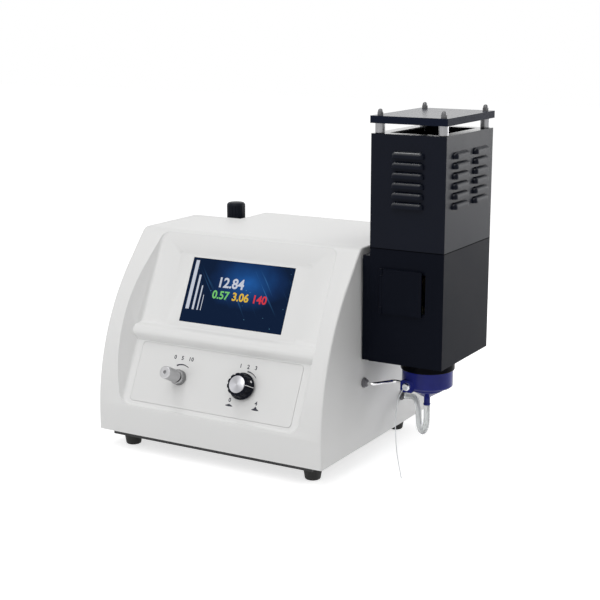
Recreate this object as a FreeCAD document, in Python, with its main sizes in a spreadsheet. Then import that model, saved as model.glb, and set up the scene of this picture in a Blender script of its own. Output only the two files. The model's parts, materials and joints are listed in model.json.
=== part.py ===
"""Flame photometer: a bench case with a sunk touch screen and two gas controls, an air filter-regulator in its
rear corner and a burner chimney on its right side. Sizes are in millimetres, +Z is up and the front faces -Y.

Formulas are written in the case frame: across from the case's left side, deep from its front, up from the bench.
Every body is then moved so that the origin is the bottom centre of the whole instrument."""

import FreeCAD, Part
import math
import os
import re

import Sketcher

SIZES = [
    # case
    ("case_width", 340, "case across, at its foot"),
    ("case_depth", 298, "case front to back"),
    ("case_floor", 25, "lower edge of the case above the bench"),
    ("case_top", 283, "top of the case above the bench"),
    ("case_wall", 3, "moulded wall"),
    ("case_draft", 5.4, "how far the right side leans in at the top"),
    ("left_draft", 0.8, "how far the left side leans in at the top"),
    ("front_straight", 24, "upright stretch at the foot of the front"),
    ("front_radius", 290, "bow of the front"),
    ("front_lean", 41, "lean of the front at its top, degrees"),
    ("brow_round", 15, "rounding between front and top"),
    ("edge_round", 2.5, "rounding of the outer edges"),
    ("ledge_reach", 30, "case sides to the inner edge of the ledge under them"),
    ("notch_width", 80, "cut-away rear corner, across"),
    ("notch_front", 229.5, "where the cut-away corner starts"),
    # sunk front panel
    ("panel_drop", 1.6, "top of the case down to where the sunk panel meets the front"),
    ("panel_foot", 64, "height of the panel's lower end"),
    ("panel_sink", 2, "panel behind the front at its lower end"),
    ("panel_height", 175, "height of the panel's datum line"),
    ("recess_side", 37, "case side to the floor of the recess"),
    ("recess_below", 122, "floor of the recess below the datum line"),
    ("recess_above", 118, "floor of the recess above the datum line"),
    ("recess_corner", 12, "corner radius of the recess"),
    ("recess_flare", 28, "flare of the recess walls, degrees"),
    ("recess_soft", 5, "rounding where the recess walls meet its floor"),
    ("ridge_top", 5, "ridge starts this far below the datum line"),
    ("ridge_span", 30, "ridge from its upper to its lower edge"),
    ("ridge_rise", 10, "ridge above the floor of the recess"),
    ("screen_offset", 0.8, "screen window right of the case's middle"),
    ("screen_drop", 2.5, "lower edge of the screen window below the datum line"),
    ("screen_width", 156.5, "screen window across"),
    ("screen_height", 88, "screen window along the panel"),
    ("screen_gap", 0.2, "glass to window edge"),
    ("bay_margin", 22, "screen window to the edge of the shallow bay round it"),
    ("bay_rim", 5, "the same above and below the window"),
    ("bay_depth", 1.6, "depth of the bay"),
    ("glass_thick", 1.2, "screen glass"),
    ("module_thick", 9, "display module"),
    ("module_rim", 7, "display module beyond the window"),
    ("plate_width", 246, "control plate across"),
    ("plate_height", 80, "control plate along the panel"),
    ("plate_below", 36.5, "control plate below the datum line"),
    ("plate_corner", 5, "control plate corner radius"),
    ("plate_thick", 1.5, "control plate"),
    ("plate_pocket", 1.2, "pocket under the control plate"),
    ("plate_gap", 0.35, "control plate to its pocket's edge"),
    # base
    ("tray_inset", 18, "case side to the base tray"),
    ("tray_front", 7.5, "case front to the base tray"),
    ("tray_rear", 4, "case rear edge to the base tray and rear panel"),
    ("tray_drop", 6.6, "height of the base tray below the case"),
    ("sheet_thick", 2, "steel sheet of tray, rear panel and burner housing"),
    ("foot_inset", 31, "case side to foot centre"),
    ("foot_front", 33, "case front to front foot centre"),
    ("foot_rear", 30, "case rear to rear foot centre"),
    ("foot_top", 12.5, "foot radius at the top"),
    ("foot_bottom", 10, "foot radius on the bench"),
    # screws
    ("screw_radius", 1.5, "case screw shank"),
    ("screw_head", 2.8, "case screw head radius"),
    ("screw_length", 8, "case screw under its head"),
    ("screw_cap", 1.8, "case screw head height"),
    ("screw_play", 0.1, "case screw in its hole"),
    ("post_radius", 4, "spacer post under the ledge"),
    ("post_front", 60, "front screw posts from the case's front"),
    ("post_rear", 200, "rear screw posts from the case's front"),
    ("rear_screw_low", 45, "lower screws of the rear panel above the bench"),
    ("rear_screw_drop", 20, "upper screws of the rear panel below the case's top"),
    # running fits
    ("shaft_play", 0.05, "radial clearance of a shaft or pin"),
    ("seat_gap", 0.3, "clearance between pieces that do not press together"),
    # fine-adjust needle valve
    ("fine_offset", 53.7, "fine valve left of the case's middle"),
    ("fine_below", 77.2, "fine valve below the datum line"),
    ("fine_body", 8, "fine valve body radius"),
    ("fine_body_length", 28, "fine valve body behind the panel"),
    ("fine_neck", 4.8, "fine valve threaded neck radius"),
    ("fine_nut", 10, "fine valve nut radius"),
    ("fine_nut_height", 8.5, "fine valve nut height"),
    ("fine_stem", 2, "needle stem radius"),
    ("fine_knob_radius", 8.2, "fine knob radius"),
    ("fine_knob_length", 26, "fine knob length"),
    ("fine_travel", 1.5, "needle travel each way"),
    # gas cock
    ("gas_offset", 43.9, "gas cock right of the case's middle"),
    ("gas_below", 75.4, "gas cock below the datum line"),
    ("gas_body", 12, "gas cock body radius"),
    ("gas_body_length", 26, "gas cock body behind the panel"),
    ("gas_neck", 5, "gas cock neck radius"),
    ("gas_plug_radius", 8, "gas cock plug radius"),
    ("gas_stem", 3, "gas spindle radius"),
    ("gas_push", 3, "how far the gas knob pushes in"),
    ("gas_knob_base", 17.5, "gas knob skirt radius"),
    ("gas_knob_face", 14.3, "gas knob face radius"),
    ("gas_knob_height", 14, "gas knob height"),
    ("gas_disc", 11.2, "silver disc radius"),
    ("gas_disc_thick", 0.8, "silver disc thickness"),
    ("gas_flute", 2.4, "radius of a flute round the gas knob"),
    ("gas_flutes", 12, "flutes round the gas knob"),
    # air filter-regulator
    ("regulator_across", 53, "regulator axis across"),
    ("regulator_deep", 260, "regulator axis from the front"),
    ("regulator_side", 40, "regulator body, square"),
    ("regulator_base", 214, "underside of the regulator body"),
    ("regulator_block", 32, "height of the regulator body"),
    ("bonnet_radius", 14.5, "regulator bonnet radius"),
    ("bonnet_height", 25, "regulator bonnet height"),
    ("knob_radius", 13.2, "regulator knob radius"),
    ("knob_height", 30, "regulator knob height"),
    ("knob_lift", 3, "how far the regulator knob pulls up"),
    ("knob_ribs", 18, "grooves round the regulator knob"),
    ("spindle_radius", 4, "regulator spindle radius"),
    ("bowl_radius", 17, "filter bowl radius"),
    ("bowl_height", 62, "filter bowl height"),
    ("bowl_wall", 2.5, "filter bowl wall"),
    ("drain_radius", 3, "drain cock stem radius"),
    ("drain_travel", 2, "drain cock travel"),
    ("gauge_radius", 15, "pressure gauge radius"),
    ("gauge_depth", 14, "pressure gauge case depth"),
    ("gauge_stem", 4, "gauge stem radius"),
    ("hose_radius", 3, "air hose that the fitting takes, radius"),
    ("fitting_radius", 6, "air fitting radius"),
    ("fitting_length", 18, "air fitting length"),
    # chimney
    ("chimney_out", 58.3, "middle of the chimney beyond the case's foot"),
    ("chimney_deep", 178, "middle of the chimney from the front"),
    ("burner_offset", 1.1, "burner axis left of the chimney's middle"),
    ("chimney_width", 100, "burner housing and hood, across"),
    ("chimney_depth", 144, "burner housing and hood, front to back"),
    ("housing_base", 140.4, "underside of the burner housing"),
    ("housing_height", 145, "height of the burner housing"),
    ("hood_height", 141, "height of the hood"),
    ("hood_sheet", 1.6, "sheet of the hood"),
    ("flue_rim", 16.4, "top rim of the hood round the flue"),
    ("plate_lower", 0.6, "foot of the mounting plate above the housing's"),
    ("plate_upper", 10, "top of the mounting plate below the housing's"),
    ("plate_width_out", 9.6, "mounting plate thickness"),
    ("pad_inset", 6, "gasket pad inside the mounting plate's edge"),
    ("lid_thick", 9, "depth of the folded lid"),
    ("lid_over", 1.1, "lid beyond the hood, each side"),
    ("lid_gap", 12.4, "gap between hood and lid"),
    ("lid_sheet", 1.5, "sheet of the lid"),
    ("standoff_radius", 6, "standoff radius"),
    ("standoff_inset", 8, "chimney side to standoff axis"),
    ("stud_radius", 2, "stud radius"),
    ("stud_tail", 6, "stud below the hood's top sheet"),
    ("nut_radius", 4, "domed nut, across corners, halved"),
    ("nut_height", 3.6, "hexagon of the domed nut"),
    ("dome_radius", 3.1, "dome of the nut"),
    ("dome_rise", 4.4, "dome above the hexagon"),
    ("louvre_length", 43, "louvre from end to end"),
    ("louvre_radius", 5.5, "reach of a louvre and its upper rounding"),
    ("louvre_straight", 2.6, "upright stretch of a louvre above its mouth"),
    ("louvre_sheet", 1.3, "louvre wall"),
    ("louvre_pitch", 12.2, "louvre spacing"),
    ("louvre_count", 6, "louvres in a column"),
    ("louvre_low", 52.1, "lowest louvre mouth above the hood's foot"),
    ("louvre_apart", 62, "louvre columns on a side face, centre to centre"),
    # inspection flap
    ("flap_inset", 19.7, "housing side to the left edge of the flap"),
    ("flap_width", 53, "flap across"),
    ("flap_base", 205, "lower edge of the flap"),
    ("flap_height", 56, "flap height"),
    ("flap_proud", 4.4, "flap face in front of the housing"),
    ("flap_sheet", 1.4, "flap sheet"),
    ("window_margin", 3.5, "flap edge to the window behind it"),
    ("window_slit", 3.2, "window beyond the flap's free edge"),
    ("hinge_radius", 2.6, "flap knuckle radius"),
    ("hinge_pin", 1.2, "flap pin radius"),
    ("lug_height", 8, "fixed knuckles at the ends of the flap"),
    # burner
    ("burner_radius", 12, "burner tube radius"),
    ("burner_bore", 9, "burner tube bore radius"),
    ("burner_top", 200, "top of the burner head"),
    ("burner_crown", 15, "burner head radius"),
    ("burner_crown_height", 12, "burner head height"),
    ("jet_radius", 1.2, "flame port radius"),
    ("jet_count", 10, "flame ports in the ring"),
    ("jet_circle", 6.5, "radius of the ring of flame ports"),
    ("shield_radius", 30, "flame shield radius"),
    ("shield_wall", 1.5, "flame shield wall"),
    ("shield_top", 296, "top of the flame shield"),
    ("igniter_radius", 2.5, "igniter insulator radius"),
    ("igniter_out", 21, "igniter from the burner axis"),
    ("igniter_height", 50, "igniter insulator height"),
    ("ring_radius", 35, "mixing chamber radius"),
    ("ring_height", 20, "mixing chamber height"),
    ("spigot_radius", 17, "mixing chamber spigot radius"),
    ("spigot_height", 10, "spigot above the housing floor"),
    ("drum_radius", 33, "chamber base drum radius"),
    ("drum_height", 23, "chamber base drum height"),
    ("boss_radius", 21.3, "lower boss radius"),
    ("boss_height", 7, "lower boss height"),
    ("cone_height", 8, "cone under the boss"),
    ("cone_foot", 5.2, "radius at the foot of the cone"),
    ("spout_radius", 4.1, "drain spout radius"),
    ("spout_length", 11.5, "drain spout length"),
    ("spout_bore", 2.4, "drain spout bore radius"),
    ("arm_width", 18.4, "nebuliser arm across"),
    ("arm_height", 16, "nebuliser arm height"),
    ("arm_reach", 33, "arm's face in front of the burner axis"),
    ("arm_side", 13.8, "nebuliser axis left of the burner axis"),
    ("nebuliser_height", 101.8, "nebuliser axis above the bench"),
    ("nebuliser_radius", 5.1, "nebuliser nut radius"),
    ("nebuliser_length", 5, "nebuliser nut length"),
    ("capillary_radius", 0.65, "sample capillary radius"),
    ("drain_hose_radius", 4.1, "drain hose radius"),
    ("air_tube_radius", 2.1, "chrome air tube radius"),
    # light path
    ("optic_height", 215, "light path above the bench"),
    ("barrel_radius", 12, "light barrel radius"),
    ("barrel_bore", 9, "light barrel bore radius"),
    ("barrel_length", 36, "light barrel length"),
    ("optic_length", 50, "filter and photocell block, across"),
    ("optic_width", 56, "filter and photocell block, front to back"),
    ("optic_tall", 50, "filter and photocell block, height"),
    # pipes and wall fittings
    ("pipe_radius", 3, "gas and air pipe radius"),
    ("burner_pipe_rise", 19.6, "gas pipe into the burner, above the housing's underside"),
    ("air_deep", 112, "air fitting from the front"),
    ("air_height", 109, "air fitting above the bench"),
    ("drain_deep", 222, "drain fitting from the front"),
    ("drain_height", 64, "drain fitting above the bench"),
    ("wall_fitting_radius", 4, "wall fitting shank radius"),
    ("wall_fitting_flange", 6.5, "wall fitting flange radius"),
    ("wall_fitting_length", 16, "wall fitting length"),
    ("wall_fitting_proud", 6, "wall fitting outside the wall"),
    # rear panel
    ("inlet_inset", 56, "mains inlet from the case's right side"),
    ("switch_apart", 44, "power switch left of the mains inlet"),
    ("rear_height", 72, "mains inlet and switch above the bench"),
    ("inlet_width", 30, "mains inlet flange across"),
    ("inlet_height", 38, "mains inlet flange height"),
    ("inlet_depth", 24, "mains inlet body depth"),
    ("inlet_flange", 2.5, "mains inlet flange thickness"),
    ("inlet_step", 1.5, "flange beyond the body"),
    ("socket_width", 24.4, "mains socket across"),
    ("socket_height", 16.4, "mains socket height"),
    ("socket_depth", 17, "mains socket depth"),
    ("drawer_width", 22, "fuse drawer across"),
    ("drawer_height", 8, "fuse drawer height"),
    ("drawer_depth", 20, "fuse drawer depth"),
    ("drawer_travel", 12, "fuse drawer travel"),
    ("drawer_gap", 0.3, "fuse drawer to its slot"),
    ("switch_width", 17, "switch frame across"),
    ("switch_height", 23, "switch frame height"),
    ("rocker_width", 11, "rocker across"),
    ("rocker_height", 17, "rocker height"),
    ("rocker_tilt", 9, "rocker tilt each way from level, degrees"),
    ("lpg_inset", 37, "gas inlet right of the cut-away corner"),
    ("lpg_height", 72, "gas inlet above the bench"),
    ("lpg_radius", 4.5, "gas inlet nipple radius"),
    ("lpg_length", 18, "gas inlet nipple length"),
    ("lpg_bore", 2.5, "gas inlet bore radius"),
    ("vent_length", 90, "rear vent slot length"),
    ("vent_height", 3.2, "rear vent slot height"),
    ("vent_pitch", 9, "rear vent slot spacing"),
    ("vent_count", 8, "rear vent slots"),
    ("vent_inset", 75, "right end of the vent slots from the case's right side"),
    ("vent_low", 165, "lowest vent slot above the bench"),
    # electronics
    ("board_width", 150, "main board across"),
    ("board_depth", 110, "main board front to back"),
    ("board_thick", 1.6, "main board thickness"),
    ("board_inset", 40, "main board from the case's right side"),
    ("board_front", 62, "main board's front edge"),
    ("standoff_height", 8, "board standoff height"),
    ("post_inset", 6, "board edge to standoff"),
    ("supply_width", 110, "power supply across"),
    ("supply_depth", 60, "power supply front to back"),
    ("supply_height", 38, "power supply height"),
    ("supply_inset", 50, "power supply from the case's right side"),
    ("supply_front", 192, "power supply's front edge"),
]

document = FreeCAD.newDocument("FlamePhotometer")
sheet = document.addObject("Spreadsheet::Sheet", "size")
for line, (alias, number, meaning) in enumerate(SIZES, 1):
    sheet.set(f"A{line}", str(number))
    sheet.set(f"B{line}", meaning)
    sheet.setAlias(f"A{line}", alias)
document.recompute()

# Shared places, worked out from the sizes above.
TILT = "(panel_lean * 1deg)"
PLACES = {
    "tray_under": "(case_floor - tray_drop)",
    "tray_top": "(case_floor - tray_drop + sheet_thick)",
    "rear_face": "(case_depth - tray_rear)",
    "bow_top": "(case_floor + front_straight + front_radius * sin(front_lean * 1deg))",
    "bow_deep": "(front_radius * (1 - cos(front_lean * 1deg)))",
    "front_at_foot": "(front_radius - sqrt(front_radius^2 - (panel_foot - case_floor - front_straight)^2))",
    "panel_top": "(case_top - panel_drop)",
    "front_at_top": "(bow_deep + (panel_top - bow_top) * tan(front_lean * 1deg))",
    "panel_slope": "((front_at_top - front_at_foot - panel_sink) / (panel_top - panel_foot))",
    "panel_lean": "(atan(panel_slope) / 1deg)",
    "panel_deep": "(front_at_top - (panel_top - panel_height) * panel_slope)",
    "screen_left": "(case_width / 2 + screen_offset - screen_width / 2)",
    "screen_right": "(case_width / 2 + screen_offset + screen_width / 2)",
    "screen_foot": "(-screen_drop)",
    "screen_head": "(screen_height - screen_drop)",
    "fine_across": "(case_width / 2 - fine_offset)",
    "gas_across": "(case_width / 2 + gas_offset)",
    "chimney_across": "(case_width + chimney_out)",
    "burner_across": "(case_width + chimney_out - burner_offset)",
    "flap_left": "(housing_left + flap_inset)",
    "burner_pipe_height": "(housing_base + burner_pipe_rise)",
    "inlet_across": "(case_width - inlet_inset)",
    "switch_across": "(case_width - inlet_inset - switch_apart)",
    "lpg_across": "(notch_width + lpg_inset)",
    "vent_left": "(case_width - vent_inset - vent_length)",
    "board_left": "(case_width - board_inset - board_width)",
    "supply_left": "(case_width - supply_inset - supply_width)",
    "air_port": "(regulator_base + regulator_block / 2)",
    "housing_left": "(chimney_across - chimney_width / 2)",
    "housing_right": "(chimney_across + chimney_width / 2)",
    "housing_front": "(chimney_deep - chimney_depth / 2)",
    "housing_rear": "(chimney_deep + chimney_depth / 2)",
    "hood_base": "(housing_base + housing_height)",
    "hood_top": "(housing_base + housing_height + hood_height)",
    "lid_base": "(housing_base + housing_height + hood_height + lid_gap)",
    "lid_top": "(housing_base + housing_height + hood_height + lid_gap + lid_thick)",
    "fine_end": "(plate_thick - plate_pocket + fine_nut_height + fine_travel + seat_gap)",
    "gas_end": "(plate_thick - plate_pocket + gas_push + seat_gap)",
    "ring_base": "(housing_base - ring_height)",
    "drum_base": "(housing_base - ring_height - drum_height)",
    "cone_top": "(housing_base - ring_height - drum_height - boss_height)",
    "spout_top": "(housing_base - ring_height - drum_height - boss_height - cone_height)",
    "wall_at_air": "(case_width - case_draft * (air_height - case_floor) / (case_top - case_floor))",
    "wall_at_drain": "(case_width - case_draft * (drain_height - case_floor) / (case_top - case_floor))",
}
# The instrument reaches from the case's left side to the louvres, and from the fine knob's tip to the gas inlet.
PLACES["centre_across"] = "((chimney_across + chimney_width / 2 + louvre_radius) / 2)"
PLACES["knob_tip"] = (
    f"(panel_deep - fine_below * sin{TILT} - ({PLACES['fine_end']} + fine_knob_length) * cos{TILT}"
    f" - fine_knob_radius * sin{TILT})"
)
PLACES["centre_deep"] = f"(({PLACES['rear_face']} + lpg_length + {PLACES['knob_tip']}) / 2)"


def bound(formula):
    """The formula with shared places spelled out and each size read from the sheet."""
    formula = str(formula)
    shared = re.compile(rf"\b({'|'.join(PLACES)})\b")
    while shared.search(formula):
        formula = shared.sub(lambda word: PLACES[word.group()], formula)
    return re.sub(r"\b([a-z]+(?:_[a-z]+)+)\b", r"size.\1", formula)


def number(formula):
    """What a formula comes to."""
    return float(sheet.evalExpression(bound(formula)))


# ---------------------------------------------------------------- bodies, sketches and features

pieces = {}


def new_body(label, across="0", deep="0", up="0", keep=True):
    """A body whose own origin lies at a place given in the case frame."""
    body = document.addObject("PartDesign::Body", label)
    body.Label = label
    body.setExpression("Placement.Base.x", bound(f"({across}) - centre_across"))
    body.setExpression("Placement.Base.y", bound(f"({deep}) - centre_deep"))
    body.setExpression("Placement.Base.z", bound(up))
    if keep:
        pieces[label] = body
    return body


def panel_body(label, across="0", above="0", out="0", keep=True):
    """A body on the sunk panel: its X runs across, its Y up the panel and its Z out of it."""
    deep = f"panel_deep + ({above}) * sin{TILT} - ({out}) * cos{TILT}"
    up = f"panel_height + ({above}) * cos{TILT} + ({out}) * sin{TILT}"
    body = new_body(label, across, deep, up, keep)
    body.Placement.Rotation = FreeCAD.Rotation(FreeCAD.Vector(1, 0, 0), 60)
    body.setExpression("Placement.Rotation.Angle", bound("90 - panel_lean"))
    return body


def aim(body, x, y, z):
    """Turn a body so that its own Z points along a direction."""
    body.Placement.Rotation = FreeCAD.Rotation(FreeCAD.Vector(0, 0, 1), FreeCAD.Vector(x, y, z))


def new_sketch(body, plane="XY", offset="0"):
    """A sketch on one of the body's origin planes, moved along that plane's normal."""
    sketch = body.newObject("Sketcher::SketchObject", body.Name + "_sketch")
    face = [feature for feature in body.Origin.OriginFeatures if feature.Role == plane + "_Plane"]
    sketch.AttachmentSupport = [(face[0], "")]
    sketch.MapMode = "FlatFace"
    sketch.setExpression("AttachmentOffset.Base.z", bound(offset))
    return sketch


def fix(sketch, kind, geometry, point, formula):
    """Hold one coordinate of a point at a formula."""
    place = sketch.addConstraint(Sketcher.Constraint(kind, -1, 1, geometry, point, number(formula)))
    sketch.setExpression(f"Constraints[{place}]", bound(formula))


def hold_radius(sketch, geometry, formula):
    """Hold the radius of a circle or arc at a formula."""
    place = sketch.addConstraint(Sketcher.Constraint("Radius", geometry, number(formula)))
    sketch.setExpression(f"Constraints[{place}]", bound(formula))


def circle(sketch, across, up, radius):
    """A circle held at a place and a radius."""
    centre = FreeCAD.Vector(number(across), number(up), 0)
    geometry = sketch.addGeometry(Part.Circle(centre, FreeCAD.Vector(0, 0, 1), number(radius)))
    fix(sketch, "DistanceX", geometry, 3, across)
    fix(sketch, "DistanceY", geometry, 3, up)
    hold_radius(sketch, geometry, radius)


def outline(sketch, corners):
    """A closed outline. A corner (across, up) starts a straight edge, and a corner (across, up, radius, side)
    starts an arc that bulges to the left of its way (side 1) or to the right (side -1)."""
    places = [FreeCAD.Vector(number(corner[0]), number(corner[1]), 0) for corner in corners]
    edges = []
    for here, corner in enumerate(corners):
        start = places[here]
        end = places[(here + 1) % len(corners)]
        if len(corner) == 2:
            edges.append((sketch.addGeometry(Part.LineSegment(start, end)), 1, 2))
            continue
        radius = number(corner[2])
        chord = end - start
        rise = math.sqrt(max(radius**2 - (chord.Length / 2) ** 2, 0))
        left = FreeCAD.Vector(-chord.y, chord.x, 0) / chord.Length
        centre = (start + end) / 2 - left * rise * corner[3]
        angles = [math.atan2(place.y - centre.y, place.x - centre.x) for place in (start, end)]
        if corner[3] == 1:
            angles.reverse()
        ring = Part.Circle(centre, FreeCAD.Vector(0, 0, 1), radius)
        geometry = sketch.addGeometry(Part.ArcOfCircle(ring, angles[0], angles[1]))
        edges.append((geometry, 2, 1) if corner[3] == 1 else (geometry, 1, 2))
        if rise > 1e-4 * radius:
            hold_radius(sketch, geometry, corner[2])
        elif abs(chord.x) > abs(chord.y):
            fix(sketch, "DistanceY", geometry, 3, corner[1])
        else:
            fix(sketch, "DistanceX", geometry, 3, corner[0])
    for here, (geometry, start, end) in enumerate(edges):
        following = edges[(here + 1) % len(edges)]
        sketch.addConstraint(Sketcher.Constraint("Coincident", geometry, end, following[0], following[1]))
        fix(sketch, "DistanceX", geometry, start, corners[here][0])
        fix(sketch, "DistanceY", geometry, start, corners[here][1])


def box_outline(sketch, left, right, low, high):
    """A rectangle between two formulas across and two up."""
    outline(sketch, [(left, low), (right, low), (right, high), (left, high)])


def round_outline(sketch, left, right, low, high, corner):
    """A rectangle with round corners."""
    outline(sketch, [
        (f"{left} + {corner}", low),
        (f"{right} - {corner}", low, corner, -1),
        (right, f"{low} + {corner}"),
        (right, f"{high} - {corner}", corner, -1),
        (f"{right} - {corner}", high),
        (f"{left} + {corner}", high, corner, -1),
        (left, f"{high} - {corner}"),
        (left, f"{low} + {corner}", corner, -1),
    ])


def pad(body, sketch, length, reverse=False, taper=None):
    """Extrude a sketch along its normal, or against it, with walls that may lean out."""
    feature = body.newObject("PartDesign::Pad", body.Name + "_pad")
    feature.Profile = sketch
    feature.Reversed = reverse
    feature.setExpression("Length", bound(length))
    if taper:
        feature.setExpression("TaperAngle", bound(taper))
    document.recompute()
    return feature


def checked_cut(feature, before):
    """Recompute a cutting feature and make sure that it took something away."""
    document.recompute()
    if feature.Shape.Volume > before - 1e-3:
        raise RuntimeError(f"{feature.Name} cuts nothing")
    return feature


def pocket(body, sketch, depth=None, reverse=False):
    """Cut a sketch against its normal, or along it, to a depth or right through."""
    before = body.Shape.Volume
    feature = body.newObject("PartDesign::Pocket", body.Name + "_pocket")
    feature.Profile = sketch
    feature.Reversed = reverse
    if depth is None:
        feature.Type = "ThroughAll"
    else:
        feature.setExpression("Length", bound(depth))
    return checked_cut(feature, before)


def turn(body, sketch, cut=False, axis="V_Axis", angle=360, reverse=False):
    """Revolve a sketch about one of its axes, to add to the body or to cut it."""
    before = body.Shape.Volume if cut else 0
    kind = "PartDesign::Groove" if cut else "PartDesign::Revolution"
    feature = body.newObject(kind, body.Name + ("_groove" if cut else "_turn"))
    feature.Profile = sketch
    feature.ReferenceAxis = (sketch, [axis])
    feature.Angle = angle
    feature.Reversed = reverse
    if cut:
        return checked_cut(feature, before)
    document.recompute()
    return feature


def edge_names(feature, wanted):
    """Names of the feature's edges for which the test holds, given the edge and its middle point."""
    names = []
    for count, edge in enumerate(feature.Shape.Edges, 1):
        middle = edge.valueAt((edge.FirstParameter + edge.LastParameter) / 2)
        if wanted(edge, middle):
            names.append(f"Edge{count}")
    return names


def soften(body, wanted, size, kind="Fillet"):
    """Round or bevel the edges of the body that pass the test."""
    base = body.Tip
    names = edge_names(base, wanted)
    if not names:
        raise RuntimeError(f"{body.Label} has no such edge")
    feature = body.newObject("PartDesign::" + kind, body.Name + "_" + kind.lower())
    feature.Base = (base, names)
    feature.setExpression("Radius" if kind == "Fillet" else "Size", bound(size))
    document.recompute()
    return feature


def repeat_row(body, features, axis, pitch, count):
    """Repeat features in a row along one of the body's axes, "X", "Y" or "Z"."""
    row = body.newObject("PartDesign::LinearPattern", body.Name + "_row")
    row.Originals = features
    line = [feature for feature in body.Origin.OriginFeatures if feature.Role == axis + "_Axis"]
    row.Direction = (line[0], [""])
    row.Mode = "Spacing"
    row.setExpression("Offset", bound(pitch))
    row.setExpression("Occurrences", bound(count))
    body.Tip = row
    document.recompute()
    return row


def repeat_round(body, features, count):
    """Repeat features evenly round the body's own Z."""
    ring = body.newObject("PartDesign::PolarPattern", body.Name + "_ring")
    ring.Originals = features
    line = [feature for feature in body.Origin.OriginFeatures if feature.Role == "Z_Axis"]
    ring.Axis = (line[0], [""])
    ring.Angle = 360
    ring.setExpression("Occurrences", bound(count))
    body.Tip = ring
    document.recompute()
    return ring


def turned(body, profile):
    """Revolve a profile of (radius, height) corners about the body's own Z."""
    sketch = new_sketch(body, "XZ")
    outline(sketch, profile)
    return turn(body, sketch)


def bored(body, low, high, radius):
    """Bore a round hole along the body's own Z between two heights."""
    sketch = new_sketch(body, "XY", high)
    circle(sketch, "0", "0", radius)
    return pocket(body, sketch, f"({high}) - ({low})")


def block(body, left, right, front, rear, low, high):
    """Add a rectangular block to the body."""
    sketch = new_sketch(body, "XY", low)
    box_outline(sketch, left, right, front, rear)
    return pad(body, sketch, f"({high}) - ({low})")


def combine(kind, label, base, tools, keep=False):
    """A cut, fusion or common part of finished shapes."""
    feature = document.addObject("Part::" + kind, label)
    feature.Label = label
    if kind == "MultiFuse":
        feature.Shapes = [base] + tools
    else:
        feature.Base = base
        feature.Tool = tools[0]
    feature.Refine = True
    document.recompute()
    if keep:
        pieces[label] = feature
    return feature


def copies(label, master, steps):
    """One node of like pieces: the master body repeated at steps (across, deep, up) from its own place."""
    master.Label = label + "_master"
    pieces.pop(label, None)
    shapes = []
    for step in steps:
        shape = master.Shape.copy()
        shape.translate(FreeCAD.Vector(*[number(formula) for formula in step]))
        shapes.append(shape)
    group = document.addObject("Part::Feature", label)
    group.Label = label
    group.Shape = Part.makeCompound(shapes)
    pieces[label] = group


def tube(label, route, radius):
    """A tube along straight runs joined by tangent arcs. Each arc takes 0.45 of the shorter of its two runs,
    and the radii are printed so that a sharp bend is seen."""
    shift = FreeCAD.Vector(number("centre_across"), number("centre_deep"), 0)
    points = [FreeCAD.Vector(*[number(formula) for formula in point]) - shift for point in route]
    size = number(radius)
    edges = []
    radii = []
    start = points[0]
    for before, here, after in zip(points, points[1:], points[2:]):
        way_in = (here - before).normalize()
        way_out = (after - here).normalize()
        reach = 0.45 * min(here.distanceToPoint(before), here.distanceToPoint(after))
        half_turn = way_in.getAngle(way_out) / 2
        bend = reach / math.tan(half_turn)
        radii.append(round(bend / (2 * size), 1))
        middle = (way_out - way_in).normalize()
        first = here - way_in * reach
        last = here + way_out * reach
        crown = here + middle * (bend / math.cos(half_turn) - bend)
        edges.append(Part.LineSegment(start, first).toShape())
        edges.append(Part.Arc(first, crown, last).toShape())
        start = last
    edges.append(Part.LineSegment(start, points[-1]).toShape())
    path = Part.Wire(edges)
    section = Part.Wire(Part.makeCircle(size, points[0], points[1] - points[0]))
    piece = document.addObject("Part::Feature", label)
    piece.Label = label
    piece.Shape = path.makePipeShell([section], True, False)
    pieces[label] = piece
    expected = math.pi * size**2 * path.Length
    if abs(piece.Shape.Volume / expected - 1) > 0.01:
        raise RuntimeError(f"{label} has volume {piece.Shape.Volume:.0f}, not {expected:.0f}")
    print(f"{label}: length {path.Length:.1f}, bends in diameters {radii}")


# ---------------------------------------------------------------- case


def case_block(label, inset, floor, rear):
    """The case as one block, with every outer wall moved inwards by the inset."""
    body = new_body(label, keep=False)
    side = new_sketch(body, "YZ")
    reach = f"(front_radius - ({inset}))"
    roof = f"(case_top - ({inset}))"
    turn_deep = f"(front_radius - {reach} * cos(front_lean * 1deg))"
    turn_up = f"(case_floor + front_straight + {reach} * sin(front_lean * 1deg))"
    outline(side, [
        (inset, floor),
        (inset, "case_floor + front_straight", reach, 1),
        (turn_deep, turn_up),
        (f"{turn_deep} + ({roof} - {turn_up}) * tan(front_lean * 1deg)", roof),
        (rear, roof),
        (rear, floor),
    ])
    pad(body, side, "case_width")
    sides = new_sketch(body, "XZ")
    beyond = "(case_top + 10)"
    lean = f"(case_draft * ({beyond} - case_floor) / (case_top - case_floor))"
    left_lean = f"(left_draft * ({beyond} - case_floor) / (case_top - case_floor))"
    outline(sides, [
        ("-10", "0"),
        (f"{inset} - left_draft * case_floor / (case_top - case_floor)", "0"),
        (f"({inset}) + {left_lean}", beyond),
        ("-10", beyond),
    ])
    outline(sides, [
        ("case_width + 10", "0"),
        (f"case_width - ({inset}) + case_draft * case_floor / (case_top - case_floor)", "0"),
        (f"case_width - ({inset}) - {lean}", beyond),
        ("case_width + 10", beyond),
    ])
    pocket(body, sides)
    notch = new_sketch(body, "XY")
    box_outline(notch, "-20", f"notch_width + ({inset})", f"notch_front - ({inset})", "case_depth + 20")
    pocket(body, notch, reverse=True)
    return body


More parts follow.
